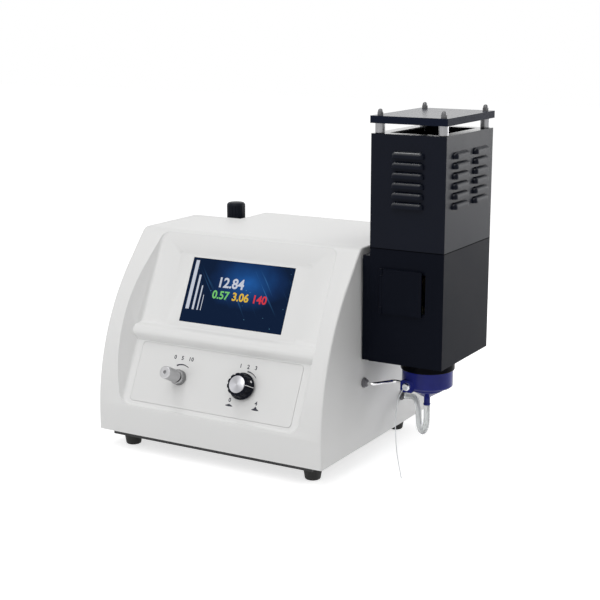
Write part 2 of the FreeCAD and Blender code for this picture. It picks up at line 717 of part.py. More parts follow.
def soft_case():
    """The outer form with its rounded brow and edges."""
    body = case_block("case_form", "0", "case_floor", "case_depth")
    roof = number("case_top")
    foot = number("case_floor")
    width = number("case_width")
    rear = number("case_depth")

    def brow_edge(edge, middle):
        box = edge.BoundBox
        return box.XLength > width / 2 and abs(middle.z - roof) < 0.1 and middle.y < rear / 2

    def outer_edge(edge, middle):
        box = edge.BoundBox
        at_side = min(middle.x, width - middle.x) < number("case_draft") + 1
        on_skin = middle.z > foot + 1 and middle.y < rear - 1
        flat_run = box.XLength < 0.1 * width
        corner = box.ZLength > 0.9 * (roof - foot)
        return at_side and on_skin and flat_run and not (corner and middle.y > rear / 2)

    soften(body, brow_edge, "brow_round")
    soften(body, outer_edge, "edge_round")
    return body


def recess_block(label, sink, grow):
    """The sunk panel's room: a flared block that stands on the panel, sunk and grown by two formulas."""
    body = panel_body(label, keep=False)
    floor = new_sketch(body, "XY", f"-({sink})")
    round_outline(
        floor,
        f"(recess_side - ({grow}))",
        f"(case_width - recess_side + ({grow}))",
        f"(-recess_below - ({grow}))",
        f"(recess_above + ({grow}))",
        f"(recess_corner + ({grow}))",
    )
    pad(body, floor, "2 * recess_side", taper="recess_flare")
    if label == "recess_form":
        low = -number(sink)
        soften(body, lambda edge, middle: abs(middle.z - low) < 0.01 and edge.BoundBox.ZLength < 0.01, "recess_soft")
    return body


def ridge_block():
    """The ridge between screen and controls: a hollow run-in, a full round crest and a short fall."""
    body = panel_body("ridge_form", keep=False)
    side = new_sketch(body, "YZ", "recess_side / 2")
    top = "(-ridge_top)"
    foot = "(-ridge_top - ridge_span)"
    outline(side, [
        (foot, "-case_wall / 2"),
        (foot, "0"),
        (f"{foot} + 0.2 * ridge_span", "0.88 * ridge_rise", "0.42 * ridge_span", 1),
        (f"{top} - 0.32 * ridge_span", "0.62 * ridge_rise", "0.5 * ridge_span", -1),
        (top, "0"),
        (top, "-case_wall / 2"),
    ])
    pad(body, side, "case_width - recess_side")
    room = recess_block("ridge_room", "case_wall / 2", "case_wall / 3")
    return combine("Common", "ridge", body, [room])


def case_hollow():
    """What is empty inside the case, with the recess kept a wall away."""
    hollow = case_block("hollow_form", "case_wall", "case_floor + case_wall", "case_depth + 20")
    backing = recess_block("recess_backing", "case_wall", "case_wall")
    room = combine("Cut", "hollow", hollow, [backing])
    opening = new_body("ledge_opening", keep=False)
    floor = new_sketch(opening, "XY", "case_floor - 5")
    outline(floor, [
        ("ledge_reach", "ledge_reach"),
        ("case_width - ledge_reach", "ledge_reach"),
        ("case_width - ledge_reach", "case_depth + 20"),
        ("notch_width + ledge_reach", "case_depth + 20"),
        ("notch_width + ledge_reach", "notch_front - ledge_reach"),
        ("ledge_reach", "notch_front - ledge_reach"),
    ])
    pad(opening, floor, "case_wall + 10")
    return [room, opening]


SCREW_POSTS = [
    ("tray_inset + 2 * post_radius", "post_front"),
    ("case_width - tray_inset - 2 * post_radius", "post_front"),
    ("tray_inset + 2 * post_radius", "post_rear"),
    ("case_width - tray_inset - 2 * post_radius", "post_rear"),
]
BOSS_DEPTH = "(screw_length + 2)"
REAR_SCREWS = [
    ("notch_width + 3 * case_wall", "rear_screw_low"),
    ("notch_width + 3 * case_wall", "case_top - rear_screw_drop"),
    ("case_width - 3.6 * case_wall", "rear_screw_low"),
    ("case_width - 3 * case_wall - case_draft", "case_top - rear_screw_drop"),
]


def rear_bosses():
    """Four blocks in the rear corners that take the rear panel's screws."""
    body = new_body("boss_form", keep=False)
    face = new_sketch(body, "XZ", "sheet_thick - rear_face")
    for across, up in REAR_SCREWS:
        wall = "notch_width + case_wall / 2" if across.startswith("notch") else "case_width - case_wall / 2"
        if up.startswith("case") and wall.startswith("case"):
            wall = "case_width - case_draft - case_wall / 2"
        reach = "(screw_head + 2.2)"
        left, right = (wall, f"{across} + {reach}") if across.startswith("notch") else (f"{across} - {reach}", wall)
        box_outline(face, left, right, f"{up} - {reach}", f"{up} + {reach}")
    pad(body, face, BOSS_DEPTH)
    holes = new_sketch(body, "XZ", "sheet_thick - rear_face")
    for across, up in REAR_SCREWS:
        circle(holes, across, up, "screw_radius + screw_play")
    pocket(body, holes, "screw_length", reverse=True)
    return body


def side_hole(label, deep, up, radius):
    """A round cutter that runs through the case's right wall, mounting plate and burner housing wall."""
    body = new_body(label, "case_width - 40", deep, up, keep=False)
    aim(body, 1, 0, 0)
    face = new_sketch(body, "XY")
    circle(face, "0", "0", radius)
    pad(body, face, "60")
    return body


def panel_cutters():
    """Cutters for the screen window, its shallow bay, the control plate's pocket and the two valve holes."""
    bay = panel_body("bay_cutter", keep=False)
    floor = new_sketch(bay, "XY", "-bay_depth")
    round_outline(
        floor,
        "(screen_left - bay_margin)",
        "(screen_right + bay_margin)",
        "(screen_foot - bay_rim)",
        "(screen_head + bay_rim)",
        "4",
    )
    pad(bay, floor, "bay_depth * 2", taper="60")
    window = panel_body("window_cutter", keep=False)
    block(window, "screen_left", "screen_right", "screen_foot", "screen_head", "-10", "5")
    plate = panel_body("plate_cutter", keep=False)
    floor = new_sketch(plate, "XY", "-plate_pocket")
    plate_outline(floor, "0")
    pad(plate, floor, "5")
    holes = panel_body("valve_cutter", keep=False)
    floor = new_sketch(holes, "XY", "-10")
    circle(floor, "fine_across", "-fine_below", "fine_neck + shaft_play")
    circle(floor, "gas_across", "-gas_below", "gas_neck + shaft_play")
    pad(holes, floor, "12")
    return [bay, window, plate, holes]


def plate_outline(sketch, gap):
    """The control plate's outline, smaller by a gap all round."""
    round_outline(
        sketch,
        f"(case_width / 2 - plate_width / 2 + {gap})",
        f"(case_width / 2 + plate_width / 2 - {gap})",
        f"(-plate_below - plate_height + {gap})",
        f"(-plate_below - {gap})",
        "plate_corner",
    )


def make_case():
    """The moulded case: outer form, less recess and hollow, with the ridge, bosses and holes."""
    form = soft_case()
    recess = recess_block("recess_form", "0", "0")
    sunk = combine("Cut", "sunk_form", form, [recess])
    hollow = combine("MultiFuse", "hollow_all", case_hollow()[0], [document.getObject("ledge_opening")])
    shell = combine("Cut", "shell_form", sunk, [hollow])
    full = combine("MultiFuse", "shell_full", shell, [ridge_block(), rear_bosses()])
    cutters = panel_cutters()
    cutters.append(side_hole("optic_hole", "chimney_deep", "optic_height", "barrel_radius + shaft_play"))
    cutters.append(side_hole("gas_hole", "chimney_deep", "burner_pipe_height", "pipe_radius + seat_gap"))
    for label, deep, up in (("air_hole", "air_deep", "air_height"), ("drain_hole", "drain_deep", "drain_height")):
        cutters.append(side_hole(label, deep, up, "wall_fitting_radius + shaft_play"))
    outlet = new_body("outlet_hole", "notch_width - 10", "regulator_deep", "air_port", keep=False)
    aim(outlet, 1, 0, 0)
    face = new_sketch(outlet, "XY")
    circle(face, "0", "0", "fitting_radius + shaft_play")
    pad(outlet, face, "20")
    cutters.append(outlet)
    posts = new_body("ledge_holes", keep=False)
    floor = new_sketch(posts, "XY", "case_floor - 5")
    for across, deep in SCREW_POSTS:
        circle(floor, across, deep, "screw_radius + screw_play")
    pad(posts, floor, "20")
    cutters.append(posts)
    cutter = combine("MultiFuse", "case_cutters", cutters[0], cutters[1:])
    combine("Cut", "case_shell", full, [cutter], keep=True)


def make_base():
    """The base tray with its upturned rim and screw posts, and the four feet."""
    tray = new_body("base_plate")
    left, right = "tray_inset", "case_width - tray_inset"
    block(tray, left, right, "tray_front", "rear_face", "tray_under", "case_floor")
    hollow = new_sketch(tray, "XY", "case_floor")
    box_outline(
        hollow, f"{left} + sheet_thick", f"{right} - sheet_thick", "tray_front + sheet_thick",
        "rear_face - sheet_thick",
    )
    pocket(tray, hollow, "tray_drop - sheet_thick")
    posts = new_sketch(tray, "XY", "tray_top")
    for across, deep in SCREW_POSTS:
        circle(posts, across, deep, "post_radius")
    pad(tray, posts, "tray_drop - sheet_thick")
    holes = new_sketch(tray, "XY", "case_floor")
    for across, deep in SCREW_POSTS:
        circle(holes, across, deep, "screw_radius + screw_play")
    pocket(tray, holes, "tray_drop")

    foot = new_body("foot", "foot_inset", "foot_front", keep=False)
    turned(foot, [
        ("0", "0"),
        ("foot_bottom - 1", "0"),
        ("foot_bottom", "1"),
        ("foot_top", "tray_under - 2"),
        ("foot_top", "tray_under"),
        ("0", "tray_under"),
    ])
    wide = "case_width - 2 * foot_inset"
    long = "case_depth - foot_front - foot_rear"
    copies("rubber_feet", foot, [("0", "0", "0"), (wide, "0", "0"), ("0", long, "0"), (wide, long, "0")])


def screw_master(label, across, deep, up, direction):
    """One pan-head screw. Its own Z runs from its tip towards its head."""
    body = new_body(label, across, deep, up, keep=False)
    aim(body, *direction)
    turned(body, [
        ("0", "-screw_length"),
        ("screw_radius", "-screw_length"),
        ("screw_radius", "0"),
        ("screw_head", "0"),
        ("screw_head", "0.4 * screw_cap", "screw_cap", -1),
        ("0.55 * screw_head", "screw_cap"),
        ("0", "screw_cap"),
    ])
    return body


def make_screws():
    """Screws under the tray and in the rear panel, as one node of separate pieces."""
    under = screw_master("tray_screw", SCREW_POSTS[0][0], SCREW_POSTS[0][1], "tray_under", (0, 0, -1))
    rear = screw_master("rear_screw", REAR_SCREWS[0][0], "rear_face", REAR_SCREWS[0][1], (0, 1, 0))
    shapes = []
    for across, deep in SCREW_POSTS:
        step = (f"{across} - ({SCREW_POSTS[0][0]})", f"{deep} - ({SCREW_POSTS[0][1]})", "0")
        shapes.append((under, step))
    for across, up in REAR_SCREWS:
        shapes.append((rear, (f"{across} - ({REAR_SCREWS[0][0]})", "0", f"{up} - ({REAR_SCREWS[0][1]})")))
    solids = []
    for master, step in shapes:
        shape = master.Shape.copy()
        shape.translate(FreeCAD.Vector(*[number(formula) for formula in step]))
        solids.append(shape)
    group = document.addObject("Part::Feature", "case_screws")
    group.Label = "case_screws"
    group.Shape = Part.makeCompound(solids)
    pieces["case_screws"] = group


# ---------------------------------------------------------------- front panel


def make_front():
    """Control plate, screen glass and display module."""
    plate = panel_body("control_plate")
    face = new_sketch(plate, "XY", "-plate_pocket")
    plate_outline(face, "plate_gap")
    circle(face, "fine_across", "-fine_below", "fine_neck + shaft_play")
    circle(face, "gas_across", "-gas_below", "gas_neck + shaft_play")
    pad(plate, face, "plate_thick")

    glass = panel_body("display_glass")
    block(
        glass,
        "screen_left + screen_gap",
        "screen_right - screen_gap",
        "screen_foot + screen_gap",
        "screen_head - screen_gap",
        "-case_wall",
        "glass_thick - case_wall",
    )
    module = panel_body("display_module")
    block(
        module,
        "screen_left - module_rim",
        "screen_right + module_rim",
        "screen_foot - module_rim",
        "screen_head + module_rim",
        "-case_wall - module_thick",
        "-case_wall",
    )
    block(module, "screen_left + 38", "screen_right - 38", "screen_foot + 14", "screen_head - 14",
          "-case_wall - module_thick - 5", "-case_wall - module_thick")


def make_fine_valve():
    """Needle valve: body and neck, panel nut, the needle that rises and the knob that turns on it."""
    place = ("fine_across", "-fine_below")
    body = panel_body("fine_valve_body", *place)
    bore = "fine_stem + shaft_play"
    nut_top = "(plate_thick - plate_pocket + fine_nut_height)"
    turned(body, [
        (bore, "-case_wall - fine_body_length + 4"),
        ("0", "-case_wall - fine_body_length + 4"),
        ("0", "-case_wall - fine_body_length"),
        ("fine_body", "-case_wall - fine_body_length"),
        ("fine_body", "-case_wall"),
        ("fine_neck", "-case_wall"),
        ("fine_neck", nut_top),
        (bore, nut_top),
    ])
    nut = panel_body("fine_valve_nut", *place)
    base = "plate_thick - plate_pocket"
    turned(nut, [
        ("fine_neck + shaft_play", base),
        ("fine_nut", base),
        ("fine_nut", f"{nut_top} - 2"),
        ("fine_nut - 1.6", nut_top),
        ("fine_neck + shaft_play", nut_top),
    ])
    grip_cut(nut, "fine_nut", f"{base} + 1.5", f"{nut_top} - 2.5", "0.7", "20")
    stem = panel_body("fine_needle", *place)
    foot = "(-case_wall - fine_body_length + 4 + fine_travel + seat_gap)"
    turned(stem, [
        ("0", foot),
        ("fine_stem", f"{foot} + 6"),
        ("fine_stem", "fine_end + fine_knob_length - 8"),
        ("0", "fine_end + fine_knob_length - 8"),
    ])
    knob = panel_body("fine_knob", *place)
    tip = "(fine_end + fine_knob_length)"
    turned(knob, [
        ("fine_stem + shaft_play", "fine_end"),
        ("fine_knob_radius - 0.8", "fine_end"),
        ("fine_knob_radius", "fine_end + 0.8"),
        ("fine_knob_radius", f"{tip} - 1"),
        ("fine_knob_radius - 1", tip),
        ("0", tip),
        ("0", f"{tip} - 8 + shaft_play"),
        ("fine_stem + shaft_play", f"{tip} - 8 + shaft_play"),
    ])
    grip_cut(knob, "fine_knob_radius", "fine_end + 3", f"{tip} - 3", "0.5", "18")


def grip_cut(body, radius, low, high, groove, count):
    """Fine grooves round a knob or nut."""
    sketch = new_sketch(body, "XY", high)
    circle(sketch, f"({radius}) + 0.35 * ({groove})", "0", groove)
    cut = pocket(body, sketch, f"({high}) - ({low})")
    repeat_round(body, [cut], count)


def make_gas_valve():
    """Gas cock: body, the plug that turns in it, the spindle that slides through the plug, knob and disc."""
    place = ("gas_across", "-gas_below")
    body = panel_body("gas_valve_body", *place)
    back = "(-case_wall - gas_body_length)"
    seat = f"({back} + 3)"
    roof = "(-case_wall - 3)"
    turned(body, [
        ("0", back),
        ("gas_body", back),
        ("gas_body", "-case_wall"),
        ("gas_neck", "-case_wall"),
        ("gas_neck", "plate_thick - plate_pocket"),
        ("gas_stem + shaft_play", "plate_thick - plate_pocket"),
        ("gas_stem + shaft_play", roof),
        ("gas_plug_radius + shaft_play", roof),
        ("gas_plug_radius + shaft_play", seat),
        ("0", seat),
    ])
    plug = panel_body("gas_plug", *place)
    turned(plug, [
        ("gas_stem + shaft_play", f"{seat} + shaft_play"),
        ("gas_plug_radius", f"{seat} + shaft_play"),
        ("gas_plug_radius", f"{roof} - shaft_play"),
        ("gas_stem + shaft_play", f"{roof} - shaft_play"),
    ])
    spindle = panel_body("gas_spindle", *place)
    turned(spindle, [
        ("0", f"{seat} + gas_push + 1"),
        ("gas_stem", f"{seat} + gas_push + 1"),
        ("gas_stem", "gas_end + gas_knob_height - 4"),
        ("0", "gas_end + gas_knob_height - 4"),
    ])
    knob = panel_body("gas_knob", *place)
    crown = "(gas_end + gas_knob_height)"
    turned(knob, [
        ("gas_stem + shaft_play", "gas_end"),
        ("gas_knob_base", "gas_end"),
        ("gas_knob_base", "gas_end + 2.2"),
        ("gas_knob_base - 1.3", "gas_end + 3"),
        ("gas_knob_face + 0.4", f"{crown} - 2"),
        ("gas_knob_face - 1", crown),
        ("gas_disc + 0.1", crown),
        ("gas_disc + 0.1", f"{crown} - gas_disc_thick"),
        ("0", f"{crown} - gas_disc_thick"),
        ("0", f"{crown} - 4 + shaft_play"),
        ("gas_stem + shaft_play", f"{crown} - 4 + shaft_play"),
    ])
    flute = new_sketch(knob, "XY", crown)
    circle(flute, "gas_knob_face + 0.4 * gas_flute", "0", "gas_flute")
    cut = pocket(knob, flute, "gas_knob_height - 3.4")
    repeat_round(knob, [cut], "gas_flutes")
    disc = panel_body("gas_knob_disc", *place)
    turned(disc, [
        ("0", f"{crown} - gas_disc_thick"),
        ("gas_disc", f"{crown} - gas_disc_thick"),
        ("gas_disc", f"{crown} + 0.1"),
        ("gas_disc - 0.5", f"{crown} + 0.4"),
        ("0", f"{crown} + 0.4"),
    ])


# ---------------------------------------------------------------- air filter-regulator


def make_regulator():
    """Filter-regulator in the cut-away corner, with its bracket, gauge, drain cock and fittings."""
    place = ("regulator_across", "regulator_deep")
    half = "regulator_side / 2"
    low = "regulator_base"
    high = "(regulator_base + regulator_block)"
    bonnet = f"({high} + bonnet_height)"
    body = new_body("regulator_body", *place)
    sketch = new_sketch(body, "XY", low)
    round_outline(sketch, f"(-{half})", f"({half})", f"(-{half})", f"({half})", "5")
    pad(body, sketch, "regulator_block")
    sketch = new_sketch(body, "XY", high)
    circle(sketch, "0", "0", "bonnet_radius")
    pad(body, sketch, "bonnet_height")
    bored(body, f"{bonnet} - 20", bonnet, "spindle_radius + shaft_play")

    spindle = new_body("regulator_spindle", *place)
    knob_foot = f"({bonnet} + seat_gap)"
    knob_top = f"({knob_foot} + knob_height)"
    turned(spindle, [
        ("0", f"{bonnet} - 20 + seat_gap"),
        ("spindle_radius", f"{bonnet} - 20 + seat_gap"),
        ("spindle_radius", f"{knob_top} - 8"),
        ("0", f"{knob_top} - 8"),
    ])
    knob = new_body("regulator_knob", *place)
    turned(knob, [
        ("spindle_radius + shaft_play", knob_foot),
        ("knob_radius", knob_foot),
        ("knob_radius", f"{knob_top} - 4", "5", -1),
        ("knob_radius - 3", f"{knob_top} - 0.6"),
        ("0", knob_top),
        ("0", f"{knob_top} - 7.5"),
        ("spindle_radius + shaft_play", f"{knob_top} - 7.5"),
    ])
    grip_cut(knob, "knob_radius", f"{knob_foot} + 4", f"{knob_top} - 5", "0.9", "knob_ribs")

    bowl = new_body("regulator_bowl", *place)
    foot = f"({low} - bowl_height)"
    neck = "drain_radius + shaft_play"
    turned(bowl, [
        (neck, foot),
        ("6", foot),
        ("6", f"{foot} + 4"),
        ("bowl_radius - 4", f"{foot} + 5"),
        ("bowl_radius", f"{foot} + 10"),
        ("bowl_radius", low),
        ("bowl_radius - bowl_wall", low),
        ("bowl_radius - bowl_wall", f"{foot} + 12"),
        ("bowl_radius - 6", f"{foot} + 8"),
        (neck, f"{foot} + 8"),
    ])
    cock = new_body("drain_cock", *place)
    turned(cock, [
        ("0", f"{foot} - 12"),
        ("3.2", f"{foot} - 12"),
        ("5", f"{foot} - 9"),
        ("5", f"{foot} - drain_travel - seat_gap"),
        ("drain_radius", f"{foot} - drain_travel - seat_gap"),
        ("drain_radius", f"{foot} + 6"),
        ("0", f"{foot} + 6"),
    ])

    bracket = new_body("regulator_bracket")
    sketch = new_sketch(bracket, "YZ", "regulator_across - 14")
    outline(sketch, [
        ("notch_front", f"{low} - 10"),
        ("notch_front + sheet_thick", f"{low} - 10"),
        ("notch_front + sheet_thick", f"{low} + 6"),
        (f"regulator_deep - {half}", f"{low} + 6"),
        (f"regulator_deep - {half}", f"{low} + 24"),
        ("notch_front + sheet_thick", f"{low} + 24"),
        ("notch_front + sheet_thick", f"{high} + 10"),
        ("notch_front", f"{high} + 10"),
    ])
    pad(bracket, sketch, "28")

    gauge = new_body("gauge_case", "regulator_across", f"regulator_deep + {half}", "air_port")
    aim(gauge, 0, 1, 0)
    turned(gauge, [
        ("0", "0"),
        ("gauge_stem", "0"),
        ("gauge_stem", "3"),
        ("gauge_radius", "3"),
        ("gauge_radius", "gauge_depth + 3"),
        ("gauge_radius - 1.5", "gauge_depth + 3"),
        ("gauge_radius - 1.5", "gauge_depth"),
        ("1.2", "gauge_depth"),
        ("1.2", "gauge_depth - 3"),
        ("0", "gauge_depth - 3"),
    ])
    needle = new_body("gauge_needle", "regulator_across", f"regulator_deep + {half} + gauge_depth", "air_port")
    aim(needle, 0, 1, 0)
    needle.Placement.Rotation = needle.Placement.Rotation.multiply(FreeCAD.Rotation(FreeCAD.Vector(0, 0, 1), -45))
    turned(needle, [
        ("0", "shaft_play - 3"),
        ("1.2 - shaft_play", "shaft_play - 3"),
        ("1.2 - shaft_play", "0.8"),
        ("2.2", "0.8"),
        ("2.2", "1.6"),
        ("0", "1.6"),
    ])
    blade = new_sketch(needle, "XY", "0.8")
    outline(blade, [("-0.9", "0.5"), ("-0.7", "-4"), ("0.7", "-4"), ("0.9", "0.5"), ("0.15", "gauge_radius - 4"),
                    ("-0.15", "gauge_radius - 4")])
    pad(needle, blade, "0.6")

    inlet = new_body("air_inlet_fitting", f"regulator_across - {half}", "regulator_deep", "air_port")
    aim(inlet, -1, 0, 0)
    turned(inlet, [
        ("0", "0"),
        ("fitting_radius + 1", "0"),
        ("fitting_radius + 1", "5"),
        ("fitting_radius", "5.5"),
        ("fitting_radius", "fitting_length - 1"),
        ("fitting_radius - 1", "fitting_length"),
        ("hose_radius", "fitting_length"),
        ("hose_radius", "4"),
        ("0", "4"),
    ])
    outlet = new_body("air_outlet_fitting", f"regulator_across + {half}", "regulator_deep", "air_port")
    aim(outlet, 1, 0, 0)
    turned(outlet, [("0", "0"), ("fitting_radius", "0"), ("fitting_radius", "fitting_length"),
                    ("0", "fitting_length")])


# ---------------------------------------------------------------- rear panel


def make_rear():
    """Rear panel with its vents, mains inlet, fuse drawer, power switch and gas inlet."""
    panel = new_body("rear_panel")
    face = new_sketch(panel, "XZ", "-rear_face")
    slope = "case_draft / (case_top - case_floor)"
    right = "(case_width - case_wall - seat_gap)"
    roof = "(case_top - case_wall - seat_gap)"
    left = "(notch_width + case_wall + seat_gap)"
    ledge = "(case_floor + case_wall + seat_gap)"
    outline(face, [
        ("notch_width + ledge_reach + seat_gap", "case_floor"),
        ("case_width - ledge_reach - seat_gap", "case_floor"),
        ("case_width - ledge_reach - seat_gap", ledge),
        (right, ledge),
        (f"{right} - ({roof} - case_floor) * {slope}", roof),
        (left, roof),
        (left, ledge),
        ("notch_width + ledge_reach + seat_gap", ledge),
    ])
    for across, up in REAR_SCREWS:
        circle(face, across, up, "screw_radius + screw_play")
    circle(face, "lpg_across", "lpg_height", "lpg_radius + shaft_play")
    half_wide = "(inlet_width / 2 - inlet_step)"
    half_tall = "(inlet_height / 2 - inlet_step)"
    box_outline(face, f"inlet_across - {half_wide}", f"inlet_across + {half_wide}", f"rear_height - {half_tall}",
                f"rear_height + {half_tall}")
    half_wide = "(switch_width / 2 - inlet_step)"
    half_tall = "(switch_height / 2 - inlet_step)"
    box_outline(face, f"switch_across - {half_wide}", f"switch_across + {half_wide}",
                f"rear_height - {half_tall}", f"rear_height + {half_tall}")
    pad(panel, face, "sheet_thick")
    slot = new_sketch(panel, "XZ", "-rear_face")
    round_outline(slot, "vent_left", "(vent_left + vent_length)", "vent_low", "(vent_low + vent_height)",
                  "(vent_height * 0.45)")
    cut = pocket(panel, slot, reverse=True)
    repeat_row(panel, [cut], "Z", "vent_pitch", "vent_count")

    inlet = new_body("mains_inlet", "inlet_across", "rear_face", "rear_height")
    wide, tall = "inlet_width / 2", "inlet_height / 2"
    block_y(inlet, f"-{wide}", wide, f"-{tall}", tall, "0", "inlet_flange")
    block_y(inlet, f"inlet_step + 0.1 - {wide}", f"{wide} - inlet_step - 0.1", f"inlet_step + 0.1 - {tall}",
            f"{tall} - inlet_step - 0.1", "-inlet_depth", "0")
    socket = new_sketch(inlet, "XZ", "-inlet_flange")
    base = "(inlet_height / 2 - 3 - socket_height)"
    outline(socket, [
        ("-socket_width / 2", base),
        ("socket_width / 2", base),
        ("socket_width / 2", f"{base} + socket_height - 4"),
        ("socket_width / 2 - 4", f"{base} + socket_height"),
        ("4 - socket_width / 2", f"{base} + socket_height"),
        ("-socket_width / 2", f"{base} + socket_height - 4"),
    ])
    pocket(inlet, socket, "socket_depth", reverse=True)
    pins = new_sketch(inlet, "XZ", "socket_depth - inlet_flange")
    for across, up in (("-7", "3.5"), ("7", "3.5"), ("0", "8.5")):
        box_outline(pins, f"{across} - 1", f"{across} + 1", f"{base} + {up} - 2", f"{base} + {up} + 2")
    pad(inlet, pins, "socket_depth - 5", reverse=True)
    slot = new_sketch(inlet, "XZ", "-inlet_flange")
    drawer_low = "(3 - inlet_height / 2)"
    box_outline(slot, "-drawer_width / 2 - drawer_gap", "drawer_width / 2 + drawer_gap",
                f"{drawer_low} - drawer_gap", f"{drawer_low} + drawer_height + drawer_gap")
    pocket(inlet, slot, "drawer_depth + drawer_gap", reverse=True)

    drawer = new_body("fuse_drawer", "inlet_across", "rear_face", "rear_height")
    block_y(drawer, "-drawer_width / 2", "drawer_width / 2", drawer_low, f"{drawer_low} + drawer_height",
            "inlet_flange - drawer_depth", "inlet_flange + 0.8")
    block_y(drawer, "-drawer_width / 4", "drawer_width / 4", f"{drawer_low} + drawer_height - 2",
            f"{drawer_low} + drawer_height", "inlet_flange + 0.8", "inlet_flange + 2.4")

    frame = new_body("switch_frame", "switch_across", "rear_face", "rear_height")
    wide, tall = "switch_width / 2", "switch_height / 2"
    block_y(frame, f"-{wide}", wide, f"-{tall}", tall, "0", "inlet_flange")
    block_y(frame, f"inlet_step + 0.1 - {wide}", f"{wide} - inlet_step - 0.1", f"inlet_step + 0.1 - {tall}",
            f"{tall} - inlet_step - 0.1", "-18", "0")
    well = new_sketch(frame, "XZ", "-inlet_flange")
    box_outline(well, "-rocker_width / 2 - drawer_gap", "rocker_width / 2 + drawer_gap",
                "-rocker_height / 2 - drawer_gap", "rocker_height / 2 + drawer_gap")
    pocket(frame, well, "10", reverse=True)
    pivot = new_sketch(frame, "YZ", "-rocker_width / 2 - 1")
    circle(pivot, "-2", "0", "1")
    pad(frame, pivot, "rocker_width + 2")

    rocker = new_body("power_rocker", "switch_across", "rear_face", "rear_height")
    side = new_sketch(rocker, "YZ", "-rocker_width / 2")
    swing = "tan(rocker_tilt * 1deg)"
    top = "(inlet_flange - 0.6)"
    outline(side, [
        ("-5", "3"),
        ("-5", "-3"),
        ("-2.4", "1 - rocker_height / 2"),
        (f"{top} - (rocker_height / 2 - 1) * {swing}", "1 - rocker_height / 2"),
        (f"{top} - 0.3", "0"),
        (f"{top} + (rocker_height / 2 - 1.7) * {swing}", "rocker_height / 2 - 1.7"),
        ("-1.5", "rocker_height / 2 - 1"),
    ])
    circle(side, "-2", "0", "1 + shaft_play")
    pad(rocker, side, "rocker_width")

    nipple = new_body("lpg_inlet", "lpg_across", "rear_face", "lpg_height")
    aim(nipple, 0, 1, 0)
    turned(nipple, [
        ("lpg_bore", "-8"),
        ("7.5", "-8"),
        ("7.5", "-sheet_thick"),
        ("lpg_radius", "-sheet_thick"),
        ("lpg_radius", "0"),
        ("8", "0"),
        ("8", "4"),
        ("lpg_radius", "4"),
        ("lpg_radius", "lpg_length - 0.6"),
        ("lpg_radius - 0.6", "lpg_length"),
        ("lpg_bore", "lpg_length"),
    ])


def block_y(body, left, right, low, high, front, rear):
    """Add a block given across, up and along the depth."""
    sketch = new_sketch(body, "XZ", f"-({rear})")
    box_outline(sketch, left, right, low, high)
    return pad(body, sketch, f"({rear}) - ({front})")


# ---------------------------------------------------------------- chimney


